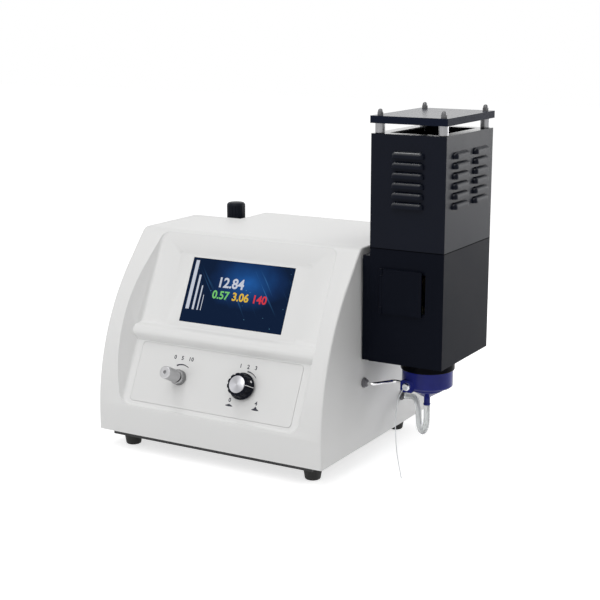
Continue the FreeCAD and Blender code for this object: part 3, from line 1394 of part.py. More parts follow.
def make_housing():
    """Burner housing with its window, flap and pin, and the plate that carries it on the case wall."""
    housing = new_body("burner_housing")
    block(housing, "housing_left", "housing_right", "housing_front", "housing_rear", "housing_base", "hood_base")
    hollow = new_sketch(housing, "XY", "hood_base")
    box_outline(hollow, "housing_left + sheet_thick", "housing_right - sheet_thick",
                "housing_front + sheet_thick", "housing_rear - sheet_thick")
    pocket(housing, hollow, "housing_height - sheet_thick")
    floor = new_sketch(housing, "XY", "hood_base")
    circle(floor, "burner_across", "chimney_deep", "spigot_radius + seat_gap")
    pocket(housing, floor)
    window = new_sketch(housing, "XZ", "1 - housing_front")
    box_outline(window, "flap_left + window_margin", "flap_left + flap_width + window_slit",
                "flap_base + window_margin", "flap_base + flap_height - window_margin")
    pocket(housing, window, "sheet_thick + 2")
    side = new_sketch(housing, "YZ", "housing_left - 1")
    circle(side, "chimney_deep", "optic_height", "barrel_radius + shaft_play")
    circle(side, "chimney_deep", "burner_pipe_height", "pipe_radius + seat_gap")
    pocket(housing, side, "sheet_thick + 2", reverse=True)
    lugs = new_sketch(housing, "XY", "flap_base")
    knuckle_outline(lugs, "hinge_radius", "seat_gap")
    lug = pad(housing, lugs, "lug_height")
    repeat_row(housing, [lug], "Z", "flap_height - lug_height", "2")
    bore = new_sketch(housing, "XY", "flap_base + flap_height + 1")
    circle(bore, "flap_left - hinge_radius", "housing_front - hinge_radius - seat_gap", "hinge_pin + shaft_play")
    pocket(housing, bore, "flap_height + 2")

    pin = new_body("flap_pin")
    sketch = new_sketch(pin, "XY", "flap_base")
    circle(sketch, "flap_left - hinge_radius", "housing_front - hinge_radius - seat_gap", "hinge_pin")
    pad(pin, sketch, "flap_height")

    flap = new_body("inspection_flap")
    face = "(housing_front - flap_proud)"
    right = "(flap_left + flap_width)"
    sketch = new_sketch(flap, "XY", "flap_base + lug_height + seat_gap")
    circle(sketch, "flap_left - hinge_radius", "housing_front - hinge_radius - seat_gap", "hinge_radius")
    pad(flap, sketch, "flap_height - 2 * lug_height - 2 * seat_gap")
    block(flap, "flap_left - hinge_radius", right, face, f"{face} + flap_sheet",
          "flap_base + lug_height + seat_gap", "flap_base + flap_height - lug_height - seat_gap")
    block(flap, "flap_left + 0.5", right, face, f"{face} + flap_sheet", "flap_base", "flap_base + flap_height")
    for low in ("flap_base", "flap_base + flap_height - flap_sheet"):
        block(flap, "flap_left + 0.5", right, f"{face} + flap_sheet / 2", "housing_front - seat_gap", low,
              f"{low} + flap_sheet")
    bore = new_sketch(flap, "XY", "flap_base + flap_height + 1")
    circle(bore, "flap_left - hinge_radius", "housing_front - hinge_radius - seat_gap", "hinge_pin + shaft_play")
    pocket(flap, bore, "flap_height + 2")

    plate = new_body("mounting_plate")
    block(plate, "housing_left - plate_width_out", "housing_left", "housing_front", "housing_rear",
          "housing_base + plate_lower", "hood_base - plate_upper")
    low = "(housing_base + plate_lower + pad_inset)"
    high = "(hood_base - plate_upper - pad_inset)"
    slope = "case_draft / (case_top - case_floor)"
    pad_side = new_sketch(plate, "XZ", "-(housing_rear - pad_inset)")
    outline(pad_side, [
        (f"case_width - ({low} - case_floor) * {slope}", low),
        ("housing_left - 1", low),
        ("housing_left - 1", high),
        (f"case_width - ({high} - case_floor) * {slope}", high),
    ])
    pad(plate, pad_side, "chimney_depth - 2 * pad_inset")
    holes = new_sketch(plate, "YZ", "housing_left + 1")
    circle(holes, "chimney_deep", "optic_height", "barrel_radius + shaft_play")
    circle(holes, "chimney_deep", "burner_pipe_height", "pipe_radius + seat_gap")
    pocket(plate, holes)


def knuckle_outline(sketch, radius, gap):
    """A fixed knuckle: round at the front, with a foot that reaches the housing."""
    centre = f"(flap_left - {radius})"
    depth = f"(housing_front - {radius} - {gap})"
    outline(sketch, [
        (f"{centre} - {radius}", depth, radius, -1),
        (f"{centre} + {radius}", depth),
        (f"{centre} + {radius}", "housing_front + 0.5"),
        (f"{centre} - {radius}", "housing_front + 0.5"),
    ])


def make_hood():
    """Chimney hood: a folded box with a flue opening and pressed louvres on all four sides."""
    hood = new_body("chimney_hood")
    block(hood, "housing_left", "housing_right", "housing_front", "housing_rear", "hood_base", "hood_top")
    faces = [
        ("x", "housing_front", "chimney_across", -1),
        ("x", "housing_rear", "chimney_across", 1),
        ("y", "housing_right", "chimney_deep - louvre_apart / 2", 1),
        ("y", "housing_right", "chimney_deep + louvre_apart / 2", 1),
        ("y", "housing_left", "chimney_deep - louvre_apart / 2", -1),
        ("y", "housing_left", "chimney_deep + louvre_apart / 2", -1),
    ]
    for face in faces:
        cowl = louvre(hood, face, "louvre_radius", cut=False)
        repeat_row(hood, cowl, "Z", "louvre_pitch", "louvre_count")
    hollow = new_sketch(hood, "XY", "hood_base")
    box_outline(hollow, "housing_left + hood_sheet", "housing_right - hood_sheet", "housing_front + hood_sheet",
                "housing_rear - hood_sheet")
    pocket(hood, hollow, "hood_height - hood_sheet", reverse=True)
    flue = new_sketch(hood, "XY", "hood_top")
    box_outline(flue, "housing_left + flue_rim", "housing_right - flue_rim", "housing_front + flue_rim",
                "housing_rear - flue_rim")
    for across, deep in stud_places():
        circle(flue, across, deep, "stud_radius + seat_gap")
    pocket(hood, flue, "2 * hood_sheet")
    for face in faces:
        mouth = louvre(hood, face, "louvre_radius - louvre_sheet", cut=True)
        repeat_row(hood, mouth, "Z", "louvre_pitch", "louvre_count")


def louvre(hood, face, radius, cut):
    """One louvre, made by a half round-ended outline drawn upwards from its mouth and then swung a quarter turn
    about the hood's face. The cutting one is smaller by the sheet, and its straight part is a slot in the wall."""
    low = "(hood_base + louvre_low)"
    knee = "(hood_base + louvre_low + louvre_straight)"
    straight = new_sketch(hood, "XY", low)
    outline(straight, louvre_outline(face, radius, through=cut))
    if cut:
        lower = pocket(hood, straight, "louvre_straight", reverse=True)
    else:
        lower = pad(hood, straight, "louvre_straight")
    swung = new_sketch(hood, "XY", knee)
    corners = louvre_outline(face, radius, through=False)
    outline(swung, corners)
    ends = (corners[0], corners[-1])
    places = [FreeCAD.Vector(number(end[0]), number(end[1]), 0) for end in ends]
    axis = swung.addGeometry(Part.LineSegment(*places), True)
    for point, end in enumerate(ends, 1):
        fix(swung, "DistanceX", axis, point, end[0])
        fix(swung, "DistanceY", axis, point, end[1])
    along, outward = face[0], face[3]
    upward = (outward == -1) == (along == "x")
    return [lower, turn(hood, swung, cut=cut, axis="Axis0", angle=90, reverse=upward)]


def louvre_outline(face, radius, through):
    """Corners of a louvre seen from above: two rounded ends and a straight front, open to the hood's wall or
    drawn through it."""
    along, wall, middle, outward = face
    first = f"({middle} - louvre_length / 2 + louvre_radius)"
    last = f"({middle} + louvre_length / 2 - louvre_radius)"
    far = f"({wall} + {outward} * ({radius}))"
    side = outward if along == "x" else -outward
    corners = [(f"{first} - ({radius})", wall, radius, side), (first, far), (last, far, radius, side),
               (f"{last} + ({radius})", wall)]
    if through:
        inner = f"({wall} - {outward} * (hood_sheet + 0.5))"
        corners += [(f"{last} + ({radius})", inner), (f"{first} - ({radius})", inner)]
    if along == "y":
        corners = [(corner[1], corner[0]) + tuple(corner[2:]) for corner in corners]
    return corners


def stud_places():
    """The four corners where lid, standoffs and hood are held together."""
    across = ("housing_left + standoff_inset", "housing_right - standoff_inset")
    deep = ("housing_front + standoff_inset", "housing_rear - standoff_inset")
    return [(one, two) for one in across for two in deep]


def make_lid():
    """Folded lid, its four standoffs and the four domed nuts with their studs."""
    lid = new_body("chimney_lid")
    block(lid, "housing_left - lid_over", "housing_right + lid_over", "housing_front - lid_over",
          "housing_rear + lid_over", "lid_base", "lid_top")
    hollow = new_sketch(lid, "XY", "lid_base")
    box_outline(hollow, "housing_left - lid_over + lid_sheet", "housing_right + lid_over - lid_sheet",
                "housing_front - lid_over + lid_sheet", "housing_rear + lid_over - lid_sheet")
    pocket(lid, hollow, "lid_thick - lid_sheet", reverse=True)
    holes = new_sketch(lid, "XY", "lid_top")
    for across, deep in stud_places():
        circle(holes, across, deep, "stud_radius + seat_gap")
    pocket(lid, holes, "2 * lid_sheet")

    across, deep = stud_places()[0]
    wide = "chimney_width - 2 * standoff_inset"
    long = "chimney_depth - 2 * standoff_inset"
    corners = [("0", "0", "0"), (wide, "0", "0"), ("0", long, "0"), (wide, long, "0")]
    standoff = new_body("standoff", across, deep, "hood_top", keep=False)
    tall = "(lid_gap + lid_thick - lid_sheet)"
    turned(standoff, [
        ("stud_radius + shaft_play", "0"),
        ("standoff_radius - 0.6", "0"),
        ("standoff_radius", "0.6"),
        ("standoff_radius", f"{tall} - 0.6"),
        ("standoff_radius - 0.6", tall),
        ("stud_radius + shaft_play", tall),
    ])
    copies("hood_standoffs", standoff, corners)
    stud = new_body("stud", across, deep, "lid_top", keep=False)
    hexagon = new_sketch(stud, "XY")
    points = []
    for turn_count in range(6):
        angle = f"{60 * turn_count}deg"
        points.append((f"nut_radius * cos({angle})", f"nut_radius * sin({angle})"))
    outline(hexagon, points)
    pad(stud, hexagon, "nut_height")
    turned(stud, [
        ("0", "-(lid_gap + lid_thick + hood_sheet + stud_tail)"),
        ("stud_radius", "-(lid_gap + lid_thick + hood_sheet + stud_tail)"),
        ("stud_radius", "0"),
        ("dome_radius", "nut_height"),
        ("dome_radius", "nut_height + dome_rise * 0.3"),
        ("dome_radius * 0.8", "nut_height + dome_rise * 0.75"),
        ("dome_radius * 0.35", "nut_height + dome_rise * 0.98"),
        ("0", "nut_height + dome_rise"),
    ])
    copies("lid_nuts", stud, corners)


def make_burner():
    """Burner, flame shield and igniter inside the housing, and the mixing chamber under it."""
    place = ("burner_across", "chimney_deep")
    ring = new_body("mixing_chamber", *place)
    turned(ring, [
        ("burner_radius - 2", "ring_base"),
        ("ring_radius - 1", "ring_base"),
        ("ring_radius", "ring_base + 1"),
        ("ring_radius", "housing_base"),
        ("spigot_radius", "housing_base"),
        ("spigot_radius", "housing_base + sheet_thick + spigot_height"),
        ("burner_radius + shaft_play", "housing_base + sheet_thick + spigot_height"),
        ("burner_radius + shaft_play", "housing_base"),
        ("burner_radius - 2", "housing_base"),
    ])
    burner = new_body("burner_head", *place)
    crown = "(burner_top - burner_crown_height)"
    turned(burner, [
        ("burner_bore", "housing_base"),
        ("burner_radius", "housing_base"),
        ("burner_radius", f"{crown} - 4"),
        ("burner_crown", crown),
        ("burner_crown", "burner_top - 1.5"),
        ("burner_crown - 1.5", "burner_top"),
        ("0", "burner_top"),
        ("0", f"{crown} + 3"),
        ("burner_bore", f"{crown} + 3"),
    ])
    bored(burner, f"{crown} + 2", "burner_top", "jet_radius")
    port = new_sketch(burner, "XY", "burner_top")
    circle(port, "jet_circle", "0", "jet_radius")
    cut = pocket(burner, port, "burner_crown_height - 2")
    repeat_round(burner, [cut], "jet_count")
    inlet = new_sketch(burner, "YZ", "-burner_radius - 1")
    circle(inlet, "0", "burner_pipe_height", "pipe_radius - 1")
    pocket(burner, inlet, "burner_radius", reverse=True)

    shield = new_body("flame_shield", *place)
    floor = "(housing_base + sheet_thick)"
    turned(shield, [
        ("shield_radius - shield_wall", floor),
        ("shield_radius", floor),
        ("shield_radius", "shield_top"),
        ("shield_radius - shield_wall", "shield_top"),
    ])
    holes = new_sketch(shield, "YZ", "-shield_radius - 1")
    circle(holes, "0", "optic_height", "barrel_bore")
    circle(holes, "0", "burner_pipe_height", "pipe_radius + seat_gap")
    pocket(shield, holes, "shield_radius", reverse=True)
    view = new_sketch(shield, "XZ", "shield_radius + 1")
    round_outline(view, "(-12)", "(12)", "(burner_top + 8)", "(burner_top + 52)", "(4)")
    pocket(shield, view, "shield_radius")

    igniter = new_body("igniter", "burner_across", "chimney_deep + igniter_out", floor)
    turned(igniter, [
        ("0", "0"),
        ("igniter_radius + 1.2", "0"),
        ("igniter_radius + 1.2", "6"),
        ("igniter_radius", "7"),
        ("igniter_radius", "igniter_height"),
        ("0.8", "igniter_height"),
        ("0.8", "igniter_height + 12"),
        ("0", "igniter_height + 12"),
    ])

    base = new_body("chamber_base", *place)
    arm_left = "(-arm_side - arm_width / 2)"
    arm = new_sketch(base, "XZ")
    middle = "nebuliser_height"
    round_outline(arm, arm_left, "(arm_width / 2 - arm_side)", f"({middle} - arm_height / 2)",
                  f"({middle} + arm_height / 2)", "(4)")
    pad(base, arm, "arm_reach")
    web = new_sketch(base, "XY", f"{middle} - arm_height / 2 + 1")
    outline(web, [
        ("arm_width / 2 - arm_side - 5", "-arm_reach + 4"),
        ("0.55 * boss_radius", "-boss_radius * 0.83"),
        ("0", "0"),
        ("-arm_side", "0"),
        ("-arm_side", "-arm_reach + 4"),
    ])
    pad(base, web, "arm_height - 4")
    turned(base, [
        ("0", "cone_top"),
        ("cone_foot", "spout_top"),
        ("spout_radius", "spout_top - 0.6"),
        ("spout_radius", "spout_top - spout_length + 2.5"),
        ("spout_radius + 0.7", "spout_top - spout_length + 2"),
        ("spout_radius + 0.2", "spout_top - spout_length"),
        ("0", "spout_top - spout_length"),
    ][::-1])
    turned(base, [
        ("0", "cone_top - 3"),
        ("cone_foot", "spout_top"),
        ("boss_radius - 3", "cone_top"),
        ("boss_radius", "cone_top + 2"),
        ("boss_radius", "drum_base"),
        ("drum_radius - 2", "drum_base"),
        ("drum_radius", "drum_base + 2"),
        ("drum_radius", "ring_base"),
        ("0", "ring_base"),
    ])
    bored(base, "drum_base", "ring_base", "burner_radius - 2")
    bored(base, "spout_top - spout_length", "drum_base", "spout_bore")
    feed = new_sketch(base, "XZ", "arm_reach")
    circle(feed, "-arm_side", middle, "2")
    pocket(base, feed, "arm_reach - 6", reverse=False)

    nebuliser = new_body("nebuliser", "burner_across - arm_side", "chimney_deep - arm_reach", middle)
    aim(nebuliser, 0, -1, 0)
    bore = "capillary_radius"
    turned(nebuliser, [
        ("0", "-10"),
        ("2 - shaft_play", "-10"),
        ("2 - shaft_play", "0"),
        ("nebuliser_radius", "0"),
        ("nebuliser_radius", "nebuliser_length - 2"),
        ("nebuliser_radius - 1.2", "nebuliser_length"),
        ("0", "nebuliser_length"),
    ])
    grip_cut(nebuliser, "nebuliser_radius", "1", "nebuliser_length - 1.5", "0.5", "16")


def make_optics():
    """Light barrel through the wall, and the filter and photocell block that it carries."""
    barrel = new_body("light_barrel", "housing_left + sheet_thick + 1 - barrel_length", "chimney_deep",
                      "optic_height")
    aim(barrel, 1, 0, 0)
    turned(barrel, [
        ("barrel_bore", "0"),
        ("barrel_radius", "0"),
        ("barrel_radius", "barrel_length"),
        ("barrel_bore", "barrel_length"),
        ("barrel_bore", "10"),
        ("barrel_bore - 2", "10"),
        ("barrel_bore - 2", "6"),
        ("barrel_bore", "6"),
    ])
    optics = new_body("optic_block", "housing_left + sheet_thick + 1 - barrel_length - optic_length",
                      "chimney_deep", "optic_height")
    block(optics, "0", "optic_length", "-optic_width / 2", "optic_width / 2", "-optic_tall / 2", "optic_tall / 2")
    face = new_sketch(optics, "YZ", "optic_length")
    circle(face, "0", "0", "barrel_bore - 2")
    pocket(optics, face, "optic_length - 8")
    block(optics, "-6", "0", "-optic_width / 2 + 6", "optic_width / 2 - 6", "-optic_tall / 2 + 6",
          "optic_tall / 2 - 6")


def make_electronics():
    """Main board on its standoffs, and the power supply."""
    board = new_body("main_board", "board_left", "board_front", "tray_top + standoff_height")
    block(board, "0", "board_width", "0", "board_depth", "0", "board_thick")
    parts = new_sketch(board, "XY", "board_thick")
    for left, right, front, rear in ((13, 30, 23, 45), (40, 49, 27, 40), (56, 65, 55, 82), (9, 23, 64, 76),
                                     (73, 92, 18, 29), (75, 89, 67, 84)):
        box_outline(parts, f"{left} * board_width / 100", f"{right} * board_width / 100",
                    f"{front} * board_depth / 100", f"{rear} * board_depth / 100")
    pad(board, parts, "3 * board_thick")
    post = new_body("board_post", "board_left + post_inset", "board_front + post_inset", "tray_top", keep=False)
    turned(post, [("0", "0"), ("post_inset / 2", "0"), ("post_inset / 2", "standoff_height"), ("0", "standoff_height")])
    wide = "board_width - 2 * post_inset"
    long = "board_depth - 2 * post_inset"
    copies("board_standoffs", post, [("0", "0", "0"), (wide, "0", "0"), ("0", long, "0"), (wide, long, "0")])
    supply = new_body("power_supply", "supply_left", "supply_front", "tray_top")
    block(supply, "0", "supply_width", "0", "supply_depth", "0", "supply_height")
    vents = new_sketch(supply, "XY", "supply_height")
    for slot in range(7):
        left = f"(0.13 + 0.11 * {slot}) * supply_width"
        box_outline(vents, left, f"{left} + 0.04 * supply_width", "0.13 * supply_depth", "0.87 * supply_depth")
    pocket(supply, vents, "supply_height / 19")


def inside(across, deep, up):
    """A place inside the case, as shares of its width, depth and height in thousandths."""
    return (f"{across} * case_width / 1000", f"{deep} * case_depth / 1000", f"{up} * case_top / 1000")


def on_panel(across, below, out):
    """A place on or behind the sunk panel, in the case frame."""
    deep = f"panel_deep - ({below}) * sin{TILT} - ({out}) * cos{TILT}"
    up = f"panel_height - ({below}) * cos{TILT} + ({out}) * sin{TILT}"
    return (across, deep, up)


def make_pipes():
    """Gas and air pipes inside the case, wall fittings, the air tube, the drain hose and the capillary."""
    level = "(fine_below + gas_below) / 2"
    behind = "-case_wall - 12"
    tube("gas_link_pipe", [
        on_panel("fine_across + fine_body + seat_gap", level, behind),
        on_panel("(fine_across + gas_across) / 2", f"{level} + 1.5", behind),
        on_panel("gas_across - gas_body - seat_gap", level, behind),
    ], "pipe_radius")
    gas_back = "-case_wall - gas_body_length"
    tube("gas_supply_pipe", [
        on_panel("gas_across", "gas_below", gas_back),
        on_panel("gas_across", "gas_below", f"{gas_back} - 1.08 * gas_body_length"),
        inside(574, 352, 265),
        inside(471, 487, 240),
        inside(382, 654, 244),
        ("lpg_across + 2", "0.8 * rear_face", "lpg_height - 1"),
        ("lpg_across", "rear_face - 26", "lpg_height"),
        ("lpg_across", "rear_face - 8", "lpg_height"),
    ], "pipe_radius")
    fine_back = "-case_wall - fine_body_length"
    tube("gas_burner_pipe", [
        on_panel("fine_across", "fine_below", fine_back),
        on_panel("fine_across", "fine_below", f"{fine_back} - 24"),
        inside(406, 346, 304),
        inside(524, 430, 343),
        inside(653, 503, 417),
        inside(771, 564, 502),
        ("0.885 * case_width", "chimney_deep - 1", "burner_pipe_height - 1"),
        ("case_width", "chimney_deep", "burner_pipe_height"),
        ("burner_across - burner_radius", "chimney_deep", "burner_pipe_height"),
    ], "pipe_radius")
    tube("air_pipe", [
        ("regulator_across + regulator_side / 2 + fitting_length", "regulator_deep", "air_port"),
        ("regulator_across + regulator_side / 2 + 2.5 * fitting_length", "regulator_deep", "air_port"),
        inside(435, 859, 763),
        inside(506, 846, 657),
        inside(565, 826, 523),
        inside(641, 779, 396),
        inside(741, 691, 325),
        inside(835, 570, 311),
        inside(894, 450, 346),
        ("case_width - 24", "air_deep", "air_height"),
        ("wall_at_air + wall_fitting_proud - wall_fitting_length", "air_deep", "air_height"),
    ], "pipe_radius")

    fitting = new_body("wall_fitting", "wall_at_air", "air_deep", "air_height", keep=False)
    aim(fitting, 1, 0, 0)
    turned(fitting, [
        ("0", "wall_fitting_proud - wall_fitting_length"),
        ("wall_fitting_radius", "wall_fitting_proud - wall_fitting_length"),
        ("wall_fitting_radius", "0.25"),
        ("wall_fitting_flange", "0.25"),
        ("wall_fitting_flange", "2.2"),
        ("wall_fitting_radius + 0.8", "3"),
        ("wall_fitting_radius + 0.8", "wall_fitting_proud - 0.8"),
        ("wall_fitting_radius", "wall_fitting_proud"),
        ("0", "wall_fitting_proud"),
    ])
    copies("wall_fittings", fitting, [
        ("0", "0", "0"),
        ("wall_at_drain - wall_at_air", "drain_deep - air_deep", "drain_height - air_height"),
    ])
    arm_left = "(burner_across - arm_side - arm_width / 2)"
    tube("air_tube", [
        ("wall_at_air + wall_fitting_proud", "air_deep", "air_height"),
        ("wall_at_air + wall_fitting_proud + 8", "air_deep", "air_height"),
        (f"{arm_left} - 12", "chimney_deep - arm_reach + 5", "nebuliser_height + 3.4"),
        (arm_left, "chimney_deep - arm_reach + 5", "nebuliser_height + 3.4"),
    ], "air_tube_radius")
    tube("drain_hose", [
        ("burner_across", "chimney_deep", "spout_top - spout_length"),
        ("burner_across", "chimney_deep", "61"),
        ("396.6", "179.5", "47"),
        ("392.5", "183.5", "34.5"),
        ("385.5", "189.5", "28.6"),
        ("379", "195", "34.5"),
        ("376", "199", "46"),
        ("374", "202.5", "58"),
        ("368", "208", "66.5"),
        ("359", "215.5", "67"),
        ("wall_at_drain + wall_fitting_proud + 5", "drain_deep", "drain_height"),
        ("wall_at_drain + wall_fitting_proud", "drain_deep", "drain_height"),
    ], "drain_hose_radius")
    tube("sample_capillary", [
        ("burner_across - arm_side", "chimney_deep - arm_reach - nebuliser_length", "nebuliser_height"),
        ("383.3", "134.5", "101.2"),
        ("381.6", "129.8", "95.4"),
        ("379.8", "126", "86.3"),
        ("380.4", "120.8", "73"),
        ("383.4", "113.4", "58"),
        ("388.6", "104.6", "43"),
        ("395", "95.4", "29"),
        ("402", "87.4", "15.5"),
        ("408.6", "81", "3"),
    ], "capillary_radius")


# ---------------------------------------------------------------- the whole instrument

make_case()
make_base()
make_screws()
make_front()
make_fine_valve()
make_gas_valve()
make_regulator()
make_rear()
make_housing()
make_hood()
make_lid()
make_burner()
make_optics()
make_electronics()
make_pipes()
document.recompute()

for thing in document.Objects:
    if "Invalid" in thing.State or "Error" in thing.State:
        raise RuntimeError(f"{thing.Name} did not compute: {thing.State}")
for label, piece in pieces.items():
    if piece.Shape.isNull() or not piece.Shape.isValid():
        raise RuntimeError(f"{label} has no valid shape")

os.makedirs("parts", exist_ok=True)
for label, piece in pieces.items():
    piece.Shape.exportStep(f"parts/{label}.step")
print(f"{len(pieces)} pieces")
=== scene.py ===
"""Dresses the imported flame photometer: finishes for its case, controls, chimney and burner, the fine shapes that the
solids leave plain, the two soft tubes, and a studio to see it in. Lengths are in metres."""

import json
import math

import bmesh
import bpy
import numpy as np
from mathutils import Matrix, Vector


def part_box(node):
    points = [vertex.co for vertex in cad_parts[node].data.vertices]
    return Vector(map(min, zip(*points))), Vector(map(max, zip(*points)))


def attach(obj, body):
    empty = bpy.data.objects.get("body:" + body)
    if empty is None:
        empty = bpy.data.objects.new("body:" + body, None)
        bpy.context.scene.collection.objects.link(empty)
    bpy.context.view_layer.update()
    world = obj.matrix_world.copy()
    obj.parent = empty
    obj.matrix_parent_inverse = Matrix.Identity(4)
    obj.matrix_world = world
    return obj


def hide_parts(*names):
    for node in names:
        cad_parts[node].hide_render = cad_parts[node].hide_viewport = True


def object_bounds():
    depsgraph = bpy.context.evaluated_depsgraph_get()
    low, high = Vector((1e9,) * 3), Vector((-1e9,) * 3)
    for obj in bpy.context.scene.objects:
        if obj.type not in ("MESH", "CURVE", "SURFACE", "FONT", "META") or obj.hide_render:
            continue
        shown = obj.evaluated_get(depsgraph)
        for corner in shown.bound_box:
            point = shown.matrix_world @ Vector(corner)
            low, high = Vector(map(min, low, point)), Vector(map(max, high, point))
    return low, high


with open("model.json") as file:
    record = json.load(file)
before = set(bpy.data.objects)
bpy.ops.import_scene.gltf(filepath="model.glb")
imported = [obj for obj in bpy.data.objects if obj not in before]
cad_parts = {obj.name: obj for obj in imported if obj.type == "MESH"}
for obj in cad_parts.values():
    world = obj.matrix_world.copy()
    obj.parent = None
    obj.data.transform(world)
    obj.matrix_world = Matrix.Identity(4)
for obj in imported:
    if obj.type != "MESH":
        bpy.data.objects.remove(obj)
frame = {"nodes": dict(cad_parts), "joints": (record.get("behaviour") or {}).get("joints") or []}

bl_info = {
    "name": "Flame photometer",
    "version": (1, 0, 0),
    "blender": (4, 5, 0),
    "location": "View3D > Sidebar > Photometer",
    "description": "Dresses a flame photometer with its finishes, printed marks, tubes and studio",
    "category": "Object",
}

CAD_BOX = [list(corner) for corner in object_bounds()]
MM = 0.001
# How far the edges of small metal pieces and of moulded or folded ones are rounded.
FINE_ROUND, SOFT_ROUND = 0.2 * MM, 0.3 * MM
CASE_LOW = np.array(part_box("case_shell")[0])
JOINTS = {joint["name"]: joint for joint in frame["joints"]}
RIGHT = np.array((1.0, 0.0, 0.0))
UP = np.array((0.0, 0.0, 1.0))
OUT = np.array(JOINTS["gas_turn"]["axis"])
UPHILL = np.cross(OUT, RIGHT)


def case_place(across, deep, up):
    """A place in millimetres from the case's left side, its front and the bench."""
    return CASE_LOW * (1, 1, 0) + np.array((across, deep, up)) * MM


def box_of(node):
    """The low and the high corner of a node."""
    return np.array(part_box(node))


def spot_of(joint):
    """Where a joint is."""
    return np.array(JOINTS[joint]["pos_m"])


# ---- what a user would change


def colour_choice(name, description, default):
    """A colour that a user may change."""
    return bpy.props.FloatVectorProperty(
        name=name, description=description, subtype="COLOR", size=3, min=0, max=1, default=default)


def length_choice(name, description, low, high, default):
    """A length that a user may change."""
    return bpy.props.FloatProperty(
        name=name, description=description, subtype="DISTANCE", unit="LENGTH", min=low, max=high, default=default)


class PhotometerLooks(bpy.types.PropertyGroup):
    """Colours and fine sizes of the photometer."""

    shell_colour: colour_choice("Case", "Colour of the moulded case", (0.74, 0.74, 0.735))
    plate_colour: colour_choice(
        "Control plate", "Colour of the printed plate round the controls", (0.715, 0.715, 0.71))
    chimney_colour: colour_choice("Chimney", "Colour of the chimney's coating", (0.0055, 0.0072, 0.0140))
    chamber_colour: colour_choice("Chamber", "Colour of the spray chamber", (0.008, 0.015, 0.22))
    ink_colour: colour_choice("Print", "Colour of the printed marks", (0.015, 0.016, 0.03))
    screen_glow: bpy.props.FloatProperty(
        name="Screen", description="Brightness of the screen", min=0, max=2, default=0.95)
    knurl_depth: length_choice("Knurl", "Depth of the knurled grip", 0, 0.001, 0.00032)
    print_thickness: length_choice(
        "Print thickness", "How far printed marks stand on their surface", 0.00001, 0.0005, 0.00006)
    edge_round: length_choice("Edges", "Rounding of the folded sheet's edges", 0, 0.003, 0.0006)


# ---- surfaces


def as_object(name, data):
    """A new object of this mesh, curve, lamp or camera, in the scene."""
    thing = bpy.data.objects.new(name, data)
    bpy.context.scene.collection.objects.link(thing)
    return thing


def as_mesh(thing):
    """A new mesh of what an object comes to, with its modifiers or its curve worked out."""
    return bpy.data.meshes.new_from_object(thing.evaluated_get(bpy.context.evaluated_depsgraph_get()))


def mesh_points(mesh):
    """The points of a mesh, one a row."""
    points = np.empty(len(mesh.vertices) * 3)
    mesh.vertices.foreach_get("co", points)
    return points.reshape(-1, 3)


def make_mesh(name, vertices, faces, crease=35, closed=True):
    """A mesh object from arrays of points and faces, smooth but for edges sharper than the crease. A closed one has
    its poles merged, its open ends filled and its faces turned outwards."""
    mesh = bpy.data.meshes.new(name)
    mesh.from_pydata(np.asarray(vertices, float).reshape(-1, 3).tolist(), [], faces)
    mesh.validate()
    mesh.shade_smooth()
    mesh.set_sharp_from_angle(angle=math.radians(crease))
    if closed:
        cleaned = bmesh.new()
        cleaned.from_mesh(mesh)
        bmesh.ops.remove_doubles(cleaned, verts=cleaned.verts, dist=1e-7)
        open_edges = [edge for edge in cleaned.edges if len(edge.link_faces) == 1]
        if open_edges:
            bmesh.ops.holes_fill(cleaned, edges=open_edges)
        bmesh.ops.recalc_face_normals(cleaned, faces=cleaned.faces)
        cleaned.to_mesh(mesh)
        cleaned.free()
    return as_object(name, mesh)


def grid_faces(rows, columns, wrap_rows=False, wrap_columns=False):
    """Quads between neighbours of a grid of points, whose last row or column may join its first."""
    numbers = np.arange(rows * columns).reshape(rows, columns)
    if wrap_rows:
        numbers = np.vstack((numbers, numbers[:1]))
    if wrap_columns:
        numbers = np.hstack((numbers, numbers[:, :1]))
    corners = (numbers[:-1, :-1], numbers[:-1, 1:], numbers[1:, 1:], numbers[1:, :-1])
    return np.stack(corners, axis=-1).reshape(-1, 4).tolist()


def frame_of(origin, axis, start=RIGHT):
    """A turned piece's origin and three directions: its start, the one square to it, and its axis."""
    axis = np.array(axis, float) / np.linalg.norm(axis)
    start = np.array(UP if abs(start @ axis) > 0.9 else start, float)
    start -= axis * (start @ axis)
    start /= np.linalg.norm(start)
    return np.array(origin, float), start, np.cross(axis, start), axis


def put(points, where):
    """Points in a piece's own directions, carried to their place."""
    origin, first, second, axis = where
    points = np.asarray(points, float)
    return origin + points[..., :1] * first + points[..., 1:2] * second + points[..., 2:3] * axis


def rounded(corners, radius, steps=4):
    """An open profile of (radius, height) corners with each inner corner replaced by a short arc: a quadratic
    curve from one point on the run before the corner to one on the run after it."""
    corners = [np.array(corner, float) for corner in corners]
    share = np.linspace(0, 1, steps + 1)[:, None]
    result = [corners[0]]
    for before, here, after in zip(corners, corners[1:], corners[2:]):
        back, onward = before - here, after - here
        reach = min(radius, 0.45 * np.linalg.norm(back), 0.45 * np.linalg.norm(onward))
        first = here + back / np.linalg.norm(back) * reach
        last = here + onward / np.linalg.norm(onward) * reach
        result.extend((1 - share) ** 2 * first + 2 * share * (1 - share) * here + share**2 * last)
    result.append(corners[-1])
    return np.array(result)


